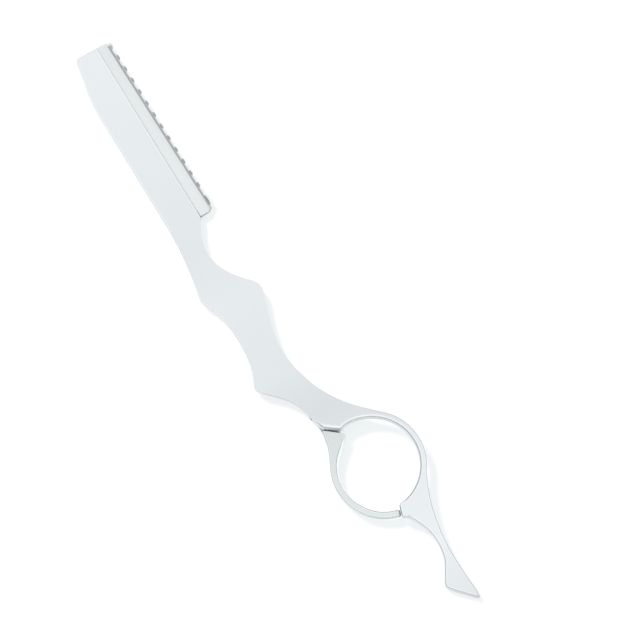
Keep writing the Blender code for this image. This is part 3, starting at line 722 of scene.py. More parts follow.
def block(low: tuple, high: tuple) -> Shell:
    """Box between two corners, as six faces turned outwards."""
    low, high = np.asarray(low), np.asarray(high)
    pick = np.array([(i, j, k) for k in (0, 1) for j in (0, 1) for i in (0, 1)])
    sides = [(0, 2, 3, 1), (4, 5, 7, 6), (0, 1, 5, 4), (2, 6, 7, 3), (0, 4, 6, 2), (1, 3, 7, 5)]
    return Shell(np.where(pick, high, low), np.array(sides))


def add_piece(
    mesh: bpy.types.Mesh,
    body: Body | None,
    material: bpy.types.Material,
    slot: str,
    *nodes: str,
) -> bpy.types.Object:
    """Shows a finished mesh as a piece that stands for CAD nodes.

    Args:
        mesh: The mesh, whose name becomes the piece's.
        body: What it moves with, or None for a piece attached to no body.
        material: Its finish.
        slot: A material slot's name; not used.
        nodes: The CAD nodes that it stands for.

    Returns:
        The object.
    """
    piece = new_object(mesh.name, mesh)
    mesh.shade_smooth()
    mesh.set_sharp_from_angle(angle=SHARP)
    mesh.materials.clear()
    mesh.materials.append(material)
    if body:
        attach(piece, body.value)
    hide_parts(*nodes)
    carrier = body.value if body else "two bodies"
    log.info("%s: %d faces on %s", piece.name, len(mesh.polygons), carrier)
    return piece


# Finishes


def feed(tree: bpy.types.NodeTree, target: bpy.types.NodeSocket, value: object) -> None:
    """Links a socket into another, or sets a plain value on it."""
    if isinstance(value, bpy.types.NodeSocket):
        tree.links.new(value, target)
    else:
        target.default_value = value


def add_node(
    tree: bpy.types.NodeTree, kind: str, inputs: dict | None = None, **settings: object
) -> bpy.types.Node:
    """Adds a node to a tree.

    Args:
        tree: Where it goes.
        kind: Blender's name of the node.
        inputs: A socket or a value for its inputs, by name or number.
        settings: Its properties, set before its inputs.

    Returns:
        The node.
    """
    node = tree.nodes.new(kind)
    for title, value in settings.items():
        setattr(node, title, value)
    for title, value in (inputs or {}).items():
        feed(tree, node.inputs[title], value)
    return node


def maths(tree: bpy.types.NodeTree, operation: str, *values: object) -> bpy.types.NodeSocket:
    """Result of a math node on one socket or number for each input."""
    inputs = dict(enumerate(values))
    return add_node(tree, "ShaderNodeMath", inputs, operation=operation).outputs[0]


def weighed(tree: bpy.types.NodeTree, total: float, parts: list) -> bpy.types.NodeSocket:
    """A number plus each (socket, share) pair's product, summed in turn."""
    for source, share in parts:
        total = maths(tree, "MULTIPLY_ADD", source, share, total)
    return total


def smooth_range(
    tree: bpy.types.NodeTree, value: bpy.types.NodeSocket, edges: tuple, ends: tuple = (0, 1)
) -> bpy.types.NodeSocket:
    """Smooth step of a value between two edges, from one end to the other.

    Args:
        tree: Where it goes.
        value: The value.
        edges: Where the step starts and stops.
        ends: What it gives there.

    Returns:
        The result's socket.
    """
    names = ("Value", "From Min", "From Max", "To Min", "To Max")
    inputs = dict(zip(names, (value, *edges, *ends)))
    node = add_node(tree, "ShaderNodeMapRange", inputs, interpolation_type="SMOOTHSTEP")
    return node.outputs["Result"]


class Group:
    """Shader node group with named sockets, which gives numbers."""

    def __init__(self, name: str, inputs: dict[str, float | None], outputs: list[str]) -> None:
        """Makes the group.

        Args:
            name: Name of the group.
            inputs: Input names with their values; None makes a vector.
            outputs: Names of its number outputs.
        """
        self.tree = bpy.data.node_groups.new(name, "ShaderNodeTree")
        for title, value in inputs.items():
            kind = "NodeSocketVector" if value is None else "NodeSocketFloat"
            socket = self.tree.interface.new_socket(title, in_out="INPUT", socket_type=kind)
            if value is not None:
                socket.default_value = value
        for title in outputs:
            self.tree.interface.new_socket(title, in_out="OUTPUT", socket_type="NodeSocketFloat")
        self.inputs = add_node(self.tree, "NodeGroupInput").outputs
        self.outputs = add_node(self.tree, "NodeGroupOutput").inputs

    def noise(
        self, place: bpy.types.NodeSocket, scale: str, **looks: float
    ) -> bpy.types.NodeSocket:
        """Noise at a place, whose scale is the named input."""
        inputs = {"Vector": place, "Scale": self.inputs[scale], **looks}
        node = add_node(self.tree, "ShaderNodeTexNoise", inputs, noise_dimensions="3D")
        return node.outputs["Fac"]


def grain_group() -> bpy.types.ShaderNodeTree:
    """Drawn-out polishing lines with a slow mottle.

    Fine noise, with its first axis stretched, gives the lines. Coarse noise gives the
    mottle. Both outputs swing about zero.
    """
    inputs = {"Place": None, "Lines": 900.0, "Stretch": 0.06, "Patch": 45.0}
    group = Group("polishing_grain", inputs, ["Lines", "Mottle"])
    place = group.inputs["Place"]
    axes = {0: group.inputs["Stretch"], 1: 1.0, 2: 1.0}
    stretch = add_node(group.tree, "ShaderNodeCombineXYZ", axes).outputs[0]
    product = {0: place, 1: stretch}
    drawn = add_node(group.tree, "ShaderNodeVectorMath", product, operation="MULTIPLY")
    lines = group.noise(drawn.outputs[0], "Lines", Detail=4.0, Roughness=0.65)
    patch = group.noise(place, "Patch", Detail=3.0, Distortion=0.6)
    for noise, title in ((lines, "Lines"), (patch, "Mottle")):
        feed(group.tree, group.outputs[title], maths(group.tree, "SUBTRACT", noise, 0.5))
    return group.tree


def wear_group() -> bpy.types.ShaderNodeTree:
    """Rubbed rims: the rim mask broken up by noise, sharpened by a smooth step."""
    group = Group("rubbed_rims", {"Place": None, "Rim": 0.0, "Breakup": 400.0}, ["Wear"])
    swing = 0.8
    noise = group.noise(group.inputs["Place"], "Breakup", Detail=3.0)
    broken = maths(group.tree, "MULTIPLY_ADD", noise, swing, -swing / 2)
    summed = maths(group.tree, "ADD", group.inputs["Rim"], broken)
    feed(group.tree, group.outputs["Wear"], smooth_range(group.tree, summed, (0.25, 0.9)))
    return group.tree


@dataclass(frozen=True)
class Steel:
    """Bare steel finish.

    Its tone is the colour times one plus shares of the grain, the mottle, a painted
    shade that varies along the leaf and a painted highlight on crests. Hollows, shaded
    walls and creases go over to the shade colour as painted shade. Its roughness
    is a sum of the same kind, less at rubbed rims and more in hollows.
    """

    name: str
    colour: tuple[float, float, float]
    roughness: float
    lines: float = 900.0
    stretch: float = 0.06
    patch: float = 45.0
    grain_tone: float = 0.06
    mottle_tone: float = 0.08
    grain_rough: float = 0.12
    mottle_rough: float = 0.10
    hollow_rough: float = 0.4
    bump: float = 0.25
    bump_depth: float = 0.00001
    polish: float = 0.12
    # Shares of the painted highlight on crests and of the painted shade along the leaf
    painted_highlight_tone: float = 0.0
    painted_falloff_tone: float = 0.0
    # Colour of the painted shade
    shade: tuple[float, float, float] = (0.05, 0.055, 0.06)

    def material(self, groups: dict[str, bpy.types.ShaderNodeTree]) -> bpy.types.Material:
        """Builds the material.

        Args:
            groups: The shared node groups by name.

        Returns:
            The material.
        """
        material = bpy.data.materials.new(self.name)
        material.use_nodes = True
        tree = material.node_tree
        place = add_node(tree, "ShaderNodeTexCoord").outputs["Object"]
        rim, hollow, painted_falloff, crest = (
            add_node(tree, "ShaderNodeAttribute", attribute_name=title).outputs["Fac"]
            for title in ("rim", "hollow", "painted_falloff", "crest")
        )
        given = {"Place": place, "Lines": self.lines, "Stretch": self.stretch, "Patch": self.patch}
        grain = add_node(tree, "ShaderNodeGroup", given, node_tree=groups["grain"]).outputs
        given = {"Place": place, "Rim": rim}
        wear = add_node(tree, "ShaderNodeGroup", given, node_tree=groups["wear"]).outputs["Wear"]
        lines, mottle = grain["Lines"], grain["Mottle"]

        tones = [(lines, self.grain_tone), (mottle, self.mottle_tone)]
        # Painted shade along the leaf and painted highlight on crests
        tones += [(painted_falloff, -self.painted_falloff_tone), (crest, self.painted_highlight_tone)]
        scaled = {0: self.colour, "Scale": weighed(tree, 1.0, tones)}
        tinted = add_node(tree, "ShaderNodeVectorMath", scaled, operation="SCALE").outputs[0]
        # Painted shade: hollows, shaded walls and creases mix over to the shade colour
        mixed = {"Factor": hollow, "A": tinted, "B": (*self.shade, 1)}
        sunk = add_node(tree, "ShaderNodeMix", mixed, data_type="RGBA")
        grades = [(lines, self.grain_rough), (mottle, self.mottle_rough)]
        grades += [(wear, -self.polish), (hollow, self.hollow_rough)]
        raised = {"Strength": self.bump, "Distance": self.bump_depth, "Height": lines}
        surface = {
            "Base Color": sunk.outputs["Result"],
            "Roughness": weighed(tree, self.roughness, grades),
            "Metallic": 1.0,
            "Normal": add_node(tree, "ShaderNodeBump", raised).outputs["Normal"],
        }
        for title, value in surface.items():
            feed(tree, tree.nodes["Principled BSDF"].inputs[title], value)
        return material


# Assemblies


@dataclass
class UpperLeaf:
    """Upper jaw, wavy grip, right half of the ring and hooked tail, one plate."""

    low: float = 0.0024
    high: float = 0.004595
    rim: float = 0.00035
    back_rim: float = 0.00013
    outer_rim: float = 0.00045
    tail_rim: float = 0.00055
    ring_rim: float = 0.0008
    slit_rim: float = 0.00115
    shoulder_rim: float = 0.00025
    pocket_y: float = -0.0018
    pocket_roof: float = 0.00335
    heel_x: float = -0.0686
    slit_shares: tuple[float, float] = (0.25, 0.85)
    corner_turns: tuple[float, float] = (182.0, 176.0)
    bore_turns: tuple[float, float] = (172.0, 12.0)
    bore_end: float = 3.0
    shoulder_share: float = 0.6
    outer_turns: tuple[float, float] = (52.0, 139.0)
    grip_rows: tuple = ((-0.046, -0.0455), (-0.030, -0.0305), (-0.0155, -0.0175), (-0.006, -0.012))
    # Painted highlight on the rim's crest, and painted shade that varies along the leaf
    finish: Steel = Steel("satin_steel", (0.81, 0.83, 0.845), 0.40, painted_highlight_tone=0.12, painted_falloff_tone=0.15)

    def tail(self) -> tuple[Array, Array, Array]:
        """Corners of the tail: under the shoulder, round the hook, and back over it."""
        under = [(0.392, 0.102), (0.475, 0.241), (0.553, 0.31), (0.638, 0.307)]
        under += [(0.712, 0.241), (0.775, 0.109), (0.824, 0.007)]
        hook = [(0.839, -0.011), (0.856, 0.0), (0.87, 0.036), (0.994, 0.431), (1.0, 0.489)]
        over = [(0.945, 0.496), (0.818, 0.467), (0.648, 0.471), (0.521, 0.526)]
        over += [(0.394, 0.628), (0.288, 0.766)]
        return PLAN.by_tail(under), PLAN.by_tail(hook), PLAN.by_tail(over)

    def contour(self) -> Contour:
        """Outline, counter-clockwise from the tip along the spine."""
        plan = PLAN
        foot, head, _ = plan.slit_corners()
        shoulder, shoulder_end = plan.shoulder()
        under, hook, over = self.tail()
        outer = arc(plan.ring, plan.ring_radius + plan.ring_band, *self.outer_turns)
        ring_corner, bore = (
            arc(plan.ring, plan.ring_radius, *turns) for turns in (self.corner_turns, self.bore_turns)
        )
        slit = [foot + share * (head - foot) for share in self.slit_shares]
        shoulder_on = shoulder + self.shoulder_share * (shoulder_end - shoulder)
        front = plan.front()
        jaw = front[:, 0] < self.heel_x
        return Contour(
            [
                Stretch(plan.spine(), self.back_rim),
                Stretch(foot, self.slit_rim, soft=0.3),
                Stretch(slit, self.slit_rim),
                Stretch(head, self.ring_rim, soft=1.0),
                Stretch(ring_corner, self.ring_rim, soft=1.0),
                Stretch(bore, self.ring_rim),
                Stretch(plan.on_ring(plan.shoulder_angle + self.bore_end), self.shoulder_rim),
                # Painted shade on the shoulder's wall at the rear slit
                Stretch(shoulder, self.shoulder_rim, shade=1.0),
                Stretch(shoulder_on, self.shoulder_rim, shade=1.0),
                Stretch(shoulder_end, self.outer_rim),
                Stretch(spline(under), self.tail_rim),
                Stretch(hook, self.tail_rim),
                Stretch(spline(over), self.tail_rim),
                Stretch(outer, self.outer_rim),
                Stretch(front[~jaw], self.back_rim),
                Stretch(front[jaw], self.rim),
            ]
        )

    def plate(self) -> Plate:
        """Rows matched along both edges, doubled where the pocket ends at the heel.

        Each match is a place on the back edge and one on the front edge.
        """
        plan = PLAN
        edge = self.contour()
        foot, head, _ = plan.slit_corners()
        shoulder, shoulder_end = plan.shoulder()
        under, hook, _ = self.tail()
        outer_turn = self.outer_turns[0]
        matches = [
            plan.by_jaw([(0.0, -0.358), (0.0, 0.275)]),
            (self.heel_x, self.heel_x),
            *self.grip_rows,
            (foot, -0.0062),
            (head, -0.0036),
            (plan.on_ring(self.corner_turns[1]), -0.0022),
            (plan.on_ring(150), 0.0048),
            (plan.on_ring(outer_turn), plan.on_ring(outer_turn, plan.ring_band)),
            (shoulder, 0.0405),
            (shoulder_end, 0.0440),
            (under[3], 0.0540),
            (hook[0], 0.0625),
            (hook[2], 0.0645),
            (hook[3], hook[4]),
        ]
        plate = Plate.over(edge, matches, ROW_GAP, low=self.low, high=self.high)
        heel = int(np.argmin(np.abs(edge.sample(plate.back)[0][:, 0] - self.heel_x)))
        plate.back = np.insert(plate.back, heel, plate.back[heel])
        plate.front = np.insert(plate.front, heel, plate.front[heel])
        plate.pocket = Pocket(self.pocket_y, self.pocket_roof, heel + 1)
        return plate

    def build(self, groups: dict[str, bpy.types.ShaderNodeTree]) -> None:
        """Makes and dresses the leaf."""
        mesh = self.plate().shell().mesh("upper_leaf")
        steel = self.finish.material(groups)
        add_piece(mesh, Body.UPPER, steel, "satin_steel", "main_leaf")


@dataclass
class LowerLeaf:
    """Lower jaw, neck with its knuckles, and the left half ring."""

    thickness: float = 0.0014
    inset: float = 0.001
    foot: float = 0.00025
    lever_top: float = 0.0032
    lever_thickness: float = 0.0024
    lever_shift: tuple[float, float] = (0.0017, 0.003)
    lever_step_out: float = 0.00135
    inner_shift: tuple[float, float] = (0.0025, 0.00245)
    lever_step_in: float = 0.0014
    slit_foot: float = 0.0001
    flank_depth: float = 0.0020
    slit_slant: float = 0.00058
    flank_angles: tuple[float, float, float] = (-138.0, -92.0, -62.0)
    flank_widths: tuple[float, float, float] = (0.00125, 0.0006, 0.0006)
    flank_shares: tuple[float, float, float] = (1.0, 1.0, 0.0)
    rim: float = 0.0003
    end_rim: float = 0.00012
    flank_start: float = 4.0
    flank_step: float = 2.0
    lever_turn: float = -121.0
    lever_end: float = 3.0
    hole_turns: tuple[float, float] = (-140.0, -143.0)
    grip_rows: tuple[float, float] = (-0.046, -0.030)
    barrel_radius: float = 0.0011
    barrel_rounding: float = 0.00015
    barrel_y: tuple[float, float] = (-0.0002, 0.0044)
    bore_radius: float = 0.00063
    neck_back: float = -0.0035
    neck_front: float = 0.0014
    neck_gap: float = 0.0003
    stem_reach: float = 0.0008
    stem_y: float = -0.001
    jaw_row_gap: float = 0.0004
    window_x: tuple[float, float] = (-0.0014, 0.0034)
    window_wall: float = 0.001
    cut_past: float = 0.003
    # The upper leaf's satin steel painted darker as shade, with a painted highlight on crests and
    # flanks
    finish: Steel = Steel("satin_steel_painted_shade", (0.69, 0.71, 0.715), 0.40, painted_highlight_tone=0.28)

    def lever(self) -> Shell:
        """Half ring from the front slit round to the shoulder of the tail.

        Its end slants towards the shoulder as it goes down, so the slit there is dark, and the end is
        painted in shade.
        """
        plan = PLAN
        foot, head, corner = plan.slit_corners()
        heading = (head - foot) / np.linalg.norm(head - foot)
        start = foot + self.slit_foot * np.array([heading[1], -heading[0]])
        centre, hole = plan.ring + self.lever_shift, plan.ring + self.inner_shift
        inner = plan.ring_radius - self.lever_step_in
        outer = plan.ring_radius + self.lever_step_out
        way, slant = plan.shoulder_way(), self.slit_slant
        end_line = plan.shoulder()[0] + (plan.slit - slant) * np.array([way[1], -way[0]])

        def meets(middle: Array, radius: float) -> float:
            """Angle at which the shoulder's line leaves a circle about a middle."""
            offset = end_line - middle
            along = offset @ way
            reach = math.sqrt(along**2 - offset @ offset + radius**2) - along
            hit = offset + reach * way
            return math.degrees(math.atan2(hit[1], hit[0]))

        bend = spline(plan.by_ring([(-0.978, -0.518), (-0.81, -0.555), (-0.642, -0.624)]))
        outer_turn, inner_turn = meets(centre, outer), meets(hole, inner)
        outer_end, inner_end = spot(centre, outer, outer_turn), spot(hole, inner, inner_turn)
        turns = np.arange(inner_turn - self.flank_start, self.flank_angles[0], -self.flank_step)
        widths = np.interp(turns, self.flank_angles, self.flank_widths)
        shares = np.interp(turns, self.flank_angles, self.flank_shares)
        flank = [
            Stretch(spot(hole, inner, turn), width, flank=share)
            for turn, width, share in zip(turns, widths, shares)
        ]
        outside = arc(centre, outer, self.lever_turn, outer_turn - self.lever_end)
        elbow = plan.by_ring([(-0.727, -0.2)])
        hole_end = arc(hole, inner, *self.hole_turns)
        contour = Contour(
            [
                Stretch(start, self.rim),
                Stretch(bend, self.rim),
                Stretch(outside, self.rim),
                # The slanted end is painted in shade, down its flank
                Stretch(outer_end, slant, shade=1.0, flank=1.0),
                Stretch(inner_end, slant, shade=1.0, flank=1.0),
                *flank,
                Stretch(hole_end, self.flank_widths[0], soft=0.6, flank=1.0),
                Stretch(elbow, self.flank_widths[1], soft=1.0, flank=1.0),
                Stretch(corner, self.end_rim, soft=0.3),
            ]
        )
        matches = [(start, corner), (outside[0], hole_end[-1]), (outer_end, inner_end)]
        low = self.lever_top - self.lever_thickness
        sizes = {"low": low, "high": self.lever_top, "flank_depth": self.flank_depth}
        return Plate.over(contour, matches, ROW_GAP, **sizes).shell()

    def jaw(self) -> Shell:
        """Plate under the upper leaf, drawn in from its outline, with a narrow neck."""
        plan = PLAN
        end = self.neck_back - self.neck_gap
        spine, front = inset(plan.spine(), self.inset), inset(plan.front(), self.inset)
        spine, front = spine[spine[:, 0] < end], front[front[:, 0] < end]
        (low_y, high_y), back_x, front_x = self.barrel_y, self.neck_back, self.neck_front
        neck = np.array([(back_x, spine[-1, 1]), (back_x, low_y), (front_x, low_y)])
        stem = (front_x + self.stem_reach, self.stem_y)
        stem_low = plan.by_ring([(-1.124, -0.482), (-0.905, -0.5), (-0.759, -0.518)])
        stem_high = [(-0.759, -0.255), (-0.861, -0.168), (-1.007, -0.146), (-1.161, -0.095)]
        stem_high = plan.by_ring(stem_high)
        close = np.array([(front_x, high_y), (back_x, high_y)])
        outline = np.vstack([spine, neck, stem, stem_low, stem_high, close, front])
        matches = [
            (spine[0], front[-1]),
            *((x, x) for x in self.grip_rows),
            (neck[0], close[1]),
            (neck[1], close[1] + [self.stem_reach, 0]),
            (neck[2], close[0]),
            (stem_low[0], stem_high[-1]),
            (stem_low[-1], stem_high[0]),
        ]
        contour = Contour([Stretch(outline, self.foot)])
        return Plate.over(contour, matches, self.jaw_row_gap, low=0.0, high=self.thickness).shell()

    def build(self, groups: dict[str, bpy.types.ShaderNodeTree]) -> None:
        """Joins plate, lever and knuckles, cuts window and bore, and dresses the leaf."""
        low_y, high_y = self.barrel_y
        barrel = [(self.barrel_radius, low_y), (self.barrel_radius, high_y)]
        first, last = low_y - self.cut_past, high_y + self.cut_past
        bore = [(0, first), (self.bore_radius, first), (self.bore_radius, last), (0, last)]
        window = block(
            (self.window_x[0], low_y + self.window_wall, -self.cut_past),
            (self.window_x[1], high_y - self.window_wall, self.lever_top),
        )
        steps = [
            (Cut.JOIN, self.jaw()),
            (Cut.JOIN, along_pin(lathed(barrel, self.barrel_rounding))),
            (Cut.TAKE, window),
            (Cut.TAKE, along_pin(revolve(bore))),
        ]
        mesh = combined("lower_leaf", self.lever(), steps)
        steel = self.finish.material(groups)
        add_piece(mesh, Body.LOWER, steel, "satin_steel", "clamp_leaf")


@dataclass
class Cartridge:
    """Folded holder, comb strip with pressed lobes, and blade."""

    LOBE_STEPS = 27
    GAP_STEPS = 8
    CORNER_STEPS = 6
    TOP_ROWS = 16
    INNER_ROWS = 4
    FOLD_STEPS = 7

    length: float = PLAN.cartridge
    heel_x: float = -0.0689
    lip_y: float = 0.0062
    comb_low: float = 0.0021
    sheet: float = 0.00025
    root_y: float = 0.0032
    valley: float = 0.0008
    lobes: int = 14
    reach: float = 0.0016
    half_width: float = 0.0013
    end_reach: float = 0.0018
    tip_gap: float = 0.000005
    tip_setback: float = 0.0013
    tip_half_width: float = 0.00125
    heel_setback: float = 0.0033
    heel_half_width: float = 0.0025
    heel_space: float = 0.006
    heel_corner: float = 0.0008
    lip_space: float = 0.0002
    lip_crowding: float = 1.3
    hollow: tuple[float, float] = (0.0009, 0.00034)
    heel_hollow: tuple[float, float] = (0.0018, 0.0004)
    heel_hollow_shift: tuple[float, float] = (0.0004, 0.00014)
    hollow_y: float = 0.00112
    hollow_edge: float = 1.25
    hollow_wall: float = 0.5
    # Painted shade in the hollows, from the tip to the heel
    hollow_shade: tuple[float, float] = (0.75, 0.9)
    hollow_depth: float = 0.00008
    groove: tuple[float, float] = (0.0010, 0.0007)
    groove_start: float = 0.0007
    groove_cover: float = 0.0014
    groove_ease: float = 0.0004
    groove_wall: float = 0.0002
    groove_flare: float = 0.0003
    # Painted shade in the groove, where it starts and beyond, and over the tip's lobe
    groove_shade: tuple[float, float] = (0.7, 0.5)
    tip_shade: float = 0.15
    bead: float = 0.00005
    bead_place: float = 1.55
    bead_spread: float = 0.45
    under_press: float = 0.8
    holder_bevel: float = 0.00006
    # The comb's shade colour is that of its painted shade
    comb_finish: Steel = Steel(
        "comb_steel", (0.84, 0.85, 0.86), 0.30, stretch=0.3, shade=(0.40, 0.405, 0.41)
    )
    holder_finish: Steel = Steel("holder_steel", (0.75, 0.765, 0.77), 0.34, lines=1200.0)
    blade_finish: Steel = Steel("blade_steel", (0.37, 0.38, 0.40), 0.28, lines=2400.0)

    @property
    def tip_x(self) -> float:
        """End of the strip at the tip of the jaws."""
        return self.heel_x - self.length

    def lobe_sizes(self) -> tuple[Array, Array, Array]:
        """Middle, half width and reach of each lobe, from the tip to the heel."""
        plain = self.lobes - 2
        first, last = self.tip_x + self.tip_setback, self.heel_x - self.heel_setback
        pitch = (last - self.heel_space - first) / plain
        middles = np.r_[first + pitch * np.arange(plain + 1), last]
        half = np.r_[self.tip_half_width, np.full(plain, self.half_width), self.heel_half_width]
        reach = np.r_[self.end_reach, np.full(plain, self.reach), self.end_reach] - self.valley
        return middles, half, reach

    def edge(self) -> tuple[Array, Array]:
        """Edge of the strip, as x and y.

        The stations follow each half-oval lobe by equal angles, so the edge is valley
        plus reach times the sine of the angle. The heel's corner is clipped by a
        straight line.
        """
        middles, half, reach = self.lobe_sizes()
        angles = np.linspace(0, math.pi, self.LOBE_STEPS)
        x = (middles[:, None] - half[:, None] * np.cos(angles)).ravel()
        y = (reach[:, None] * np.sin(angles)).ravel()
        gaps = np.linspace(0, 1, self.GAP_STEPS)[1:-1]
        left, right = (middles + half)[:-1], (middles - half)[1:]
        flat = (left[:, None] + (right - left)[:, None] * gaps).ravel()
        clipped = np.linspace(0, 1, self.CORNER_STEPS)[1:]
        heel = middles[-1] + half[-1]
        x = np.r_[self.tip_x + self.tip_gap, x, flat, heel + (self.heel_x - heel) * clipped]
        y = np.r_[0, y, np.zeros(len(flat)), -(self.valley + self.heel_corner) * clipped]
        order = np.argsort(x, kind="stable")
        return x[order], self.lip_y + self.valley + y[order]

    def pressed(self, x: Array, y: Array) -> tuple[Array, Array]:
        """Hollows, beads and groove of the strip.

        The sheet sinks by a smooth step inside an oval in each lobe but the tip's, and
        swells in a bell-shaped bead round it. A groove runs beside the holder's lip,
        wider where it starts at the tip. Shade is painted into the hollows, deeper towards
        the heel, into the groove, deeper where it starts, and lightly over the tip's lobe.

        Args:
            x: Stations along the strip.
            y: Places across it, a row for each station.

        Returns:
            How far each point is sunk, from 0 to 1, which is also its painted shade, and how much it
            is raised.
        """
        middles, half, _ = self.lobe_sizes()
        nearest = np.argmin(np.abs(x[:, None] - middles), axis=1)[:, None]
        in_heel = nearest == self.lobes - 1
        size = np.where(in_heel, self.heel_hollow, self.hollow)
        shift = in_heel * np.array(self.heel_hollow_shift)
        beside = x[:, None] - middles[nearest]
        share = (x[:, None] - self.tip_x) / self.length
        past = x[:, None] - self.tip_x - self.groove_start
        start = swell(past / self.groove_ease)
        covered = swell((past - self.groove_cover) / self.groove_ease)
        groove = self.groove[0] + (self.groove[1] - self.groove[0]) * share
        out = y - self.lip_y - self.hollow_y - groove + self.groove[0]
        oval = np.hypot((beside + shift[:, :1]) / size[:, :1], (out + shift[:, 1:]) / size[:, 1:])
        has_hollow = nearest > 0
        hollow = swell((self.hollow_edge - oval) / self.hollow_wall) * has_hollow
        hollow = hollow * np.interp(share, (0, 1), self.hollow_shade)
        end = self.lip_y + groove + self.groove_flare * (1 - covered) + self.groove_wall / 2
        grooved = swell((end - y) / self.groove_wall) * start
        grooved = grooved * np.interp(covered, (0, 1), self.groove_shade)
        # Painted shade of hollows, groove and tip lobe, which also sinks the sheet
        sunk = np.maximum(hollow, np.maximum(grooved, self.tip_shade * ~has_hollow))
        beaded = has_hollow & (np.abs(beside) < half[nearest])
        bead = np.exp(-(((oval - self.bead_place) / self.bead_spread) ** 2)) * beaded
        return sunk, self.bead * bead - self.hollow_depth * sunk

    def comb(self) -> Shell:
        """Comb strip, whose sections run out below, round the edge and back on top."""
        x, edge_y = self.edge()
        radius = self.sheet / 2
        run = (edge_y - radius)[:, None]
        lip = np.minimum(self.lip_y, run - self.lip_space)
        inner = np.linspace(0, 1, self.INNER_ROWS)[:-1]
        outer = 1 - (1 - np.linspace(0, 1, self.TOP_ROWS)) ** self.lip_crowding
        y = np.hstack([self.root_y + (lip - self.root_y) * inner, lip + (run - lip) * outer])
        sunk, press = self.pressed(x, y)

        turn = np.linspace(-math.pi / 2, math.pi / 2, self.FOLD_STEPS)[1:-1]
        fold_y = run + radius * np.cos(turn)
        fold_z = self.comb_low + radius + press[:, -1:] + radius * np.sin(turn)
        under = self.comb_low + press * self.under_press
        top = self.comb_low + self.sheet + press
        section_y = np.hstack([y, fold_y, y[:, ::-1]])
        section_z = np.hstack([under, fold_z, top[:, ::-1]])
        # Painted shade on the top and over the fold, none underneath
        hollow = np.hstack([sunk * 0, fold_y * 0 + sunk[:, -1:], sunk[:, ::-1]])
        rim = np.hstack([y * 0, fold_y * 0 + 1, y * 0])
        grid = np.dstack([np.broadcast_to(x[:, None], section_y.shape), section_y, section_z])

        index = np.arange(section_y.size).reshape(section_y.shape)
        halfway = section_y.shape[1] // 2 + 1
        sides = [np.column_stack([index, index[:, :1]])]
        for one, other in ((index[0], index[0][::-1]), (index[-1][::-1], index[-1])):
            sides.append(np.column_stack([one, other])[:halfway])
        faces = np.vstack([quads(side) for side in sides])
        return Shell(grid.reshape(-1, 3), faces, {"hollow": hollow.ravel(), "rim": rim.ravel()})

    def build(self, groups: dict[str, bpy.types.ShaderNodeTree]) -> None:
        """Makes the comb and dresses the holder and the blade."""
        comb = self.comb_finish.material(groups)
        add_piece(self.comb().mesh("comb_strip"), Body.CARTRIDGE, comb, "comb_steel", "comb_guard")
        dress("cartridge_holder", self.holder_finish.material(groups), self.holder_bevel)
        dress("blade", self.blade_finish.material(groups), 0.0)


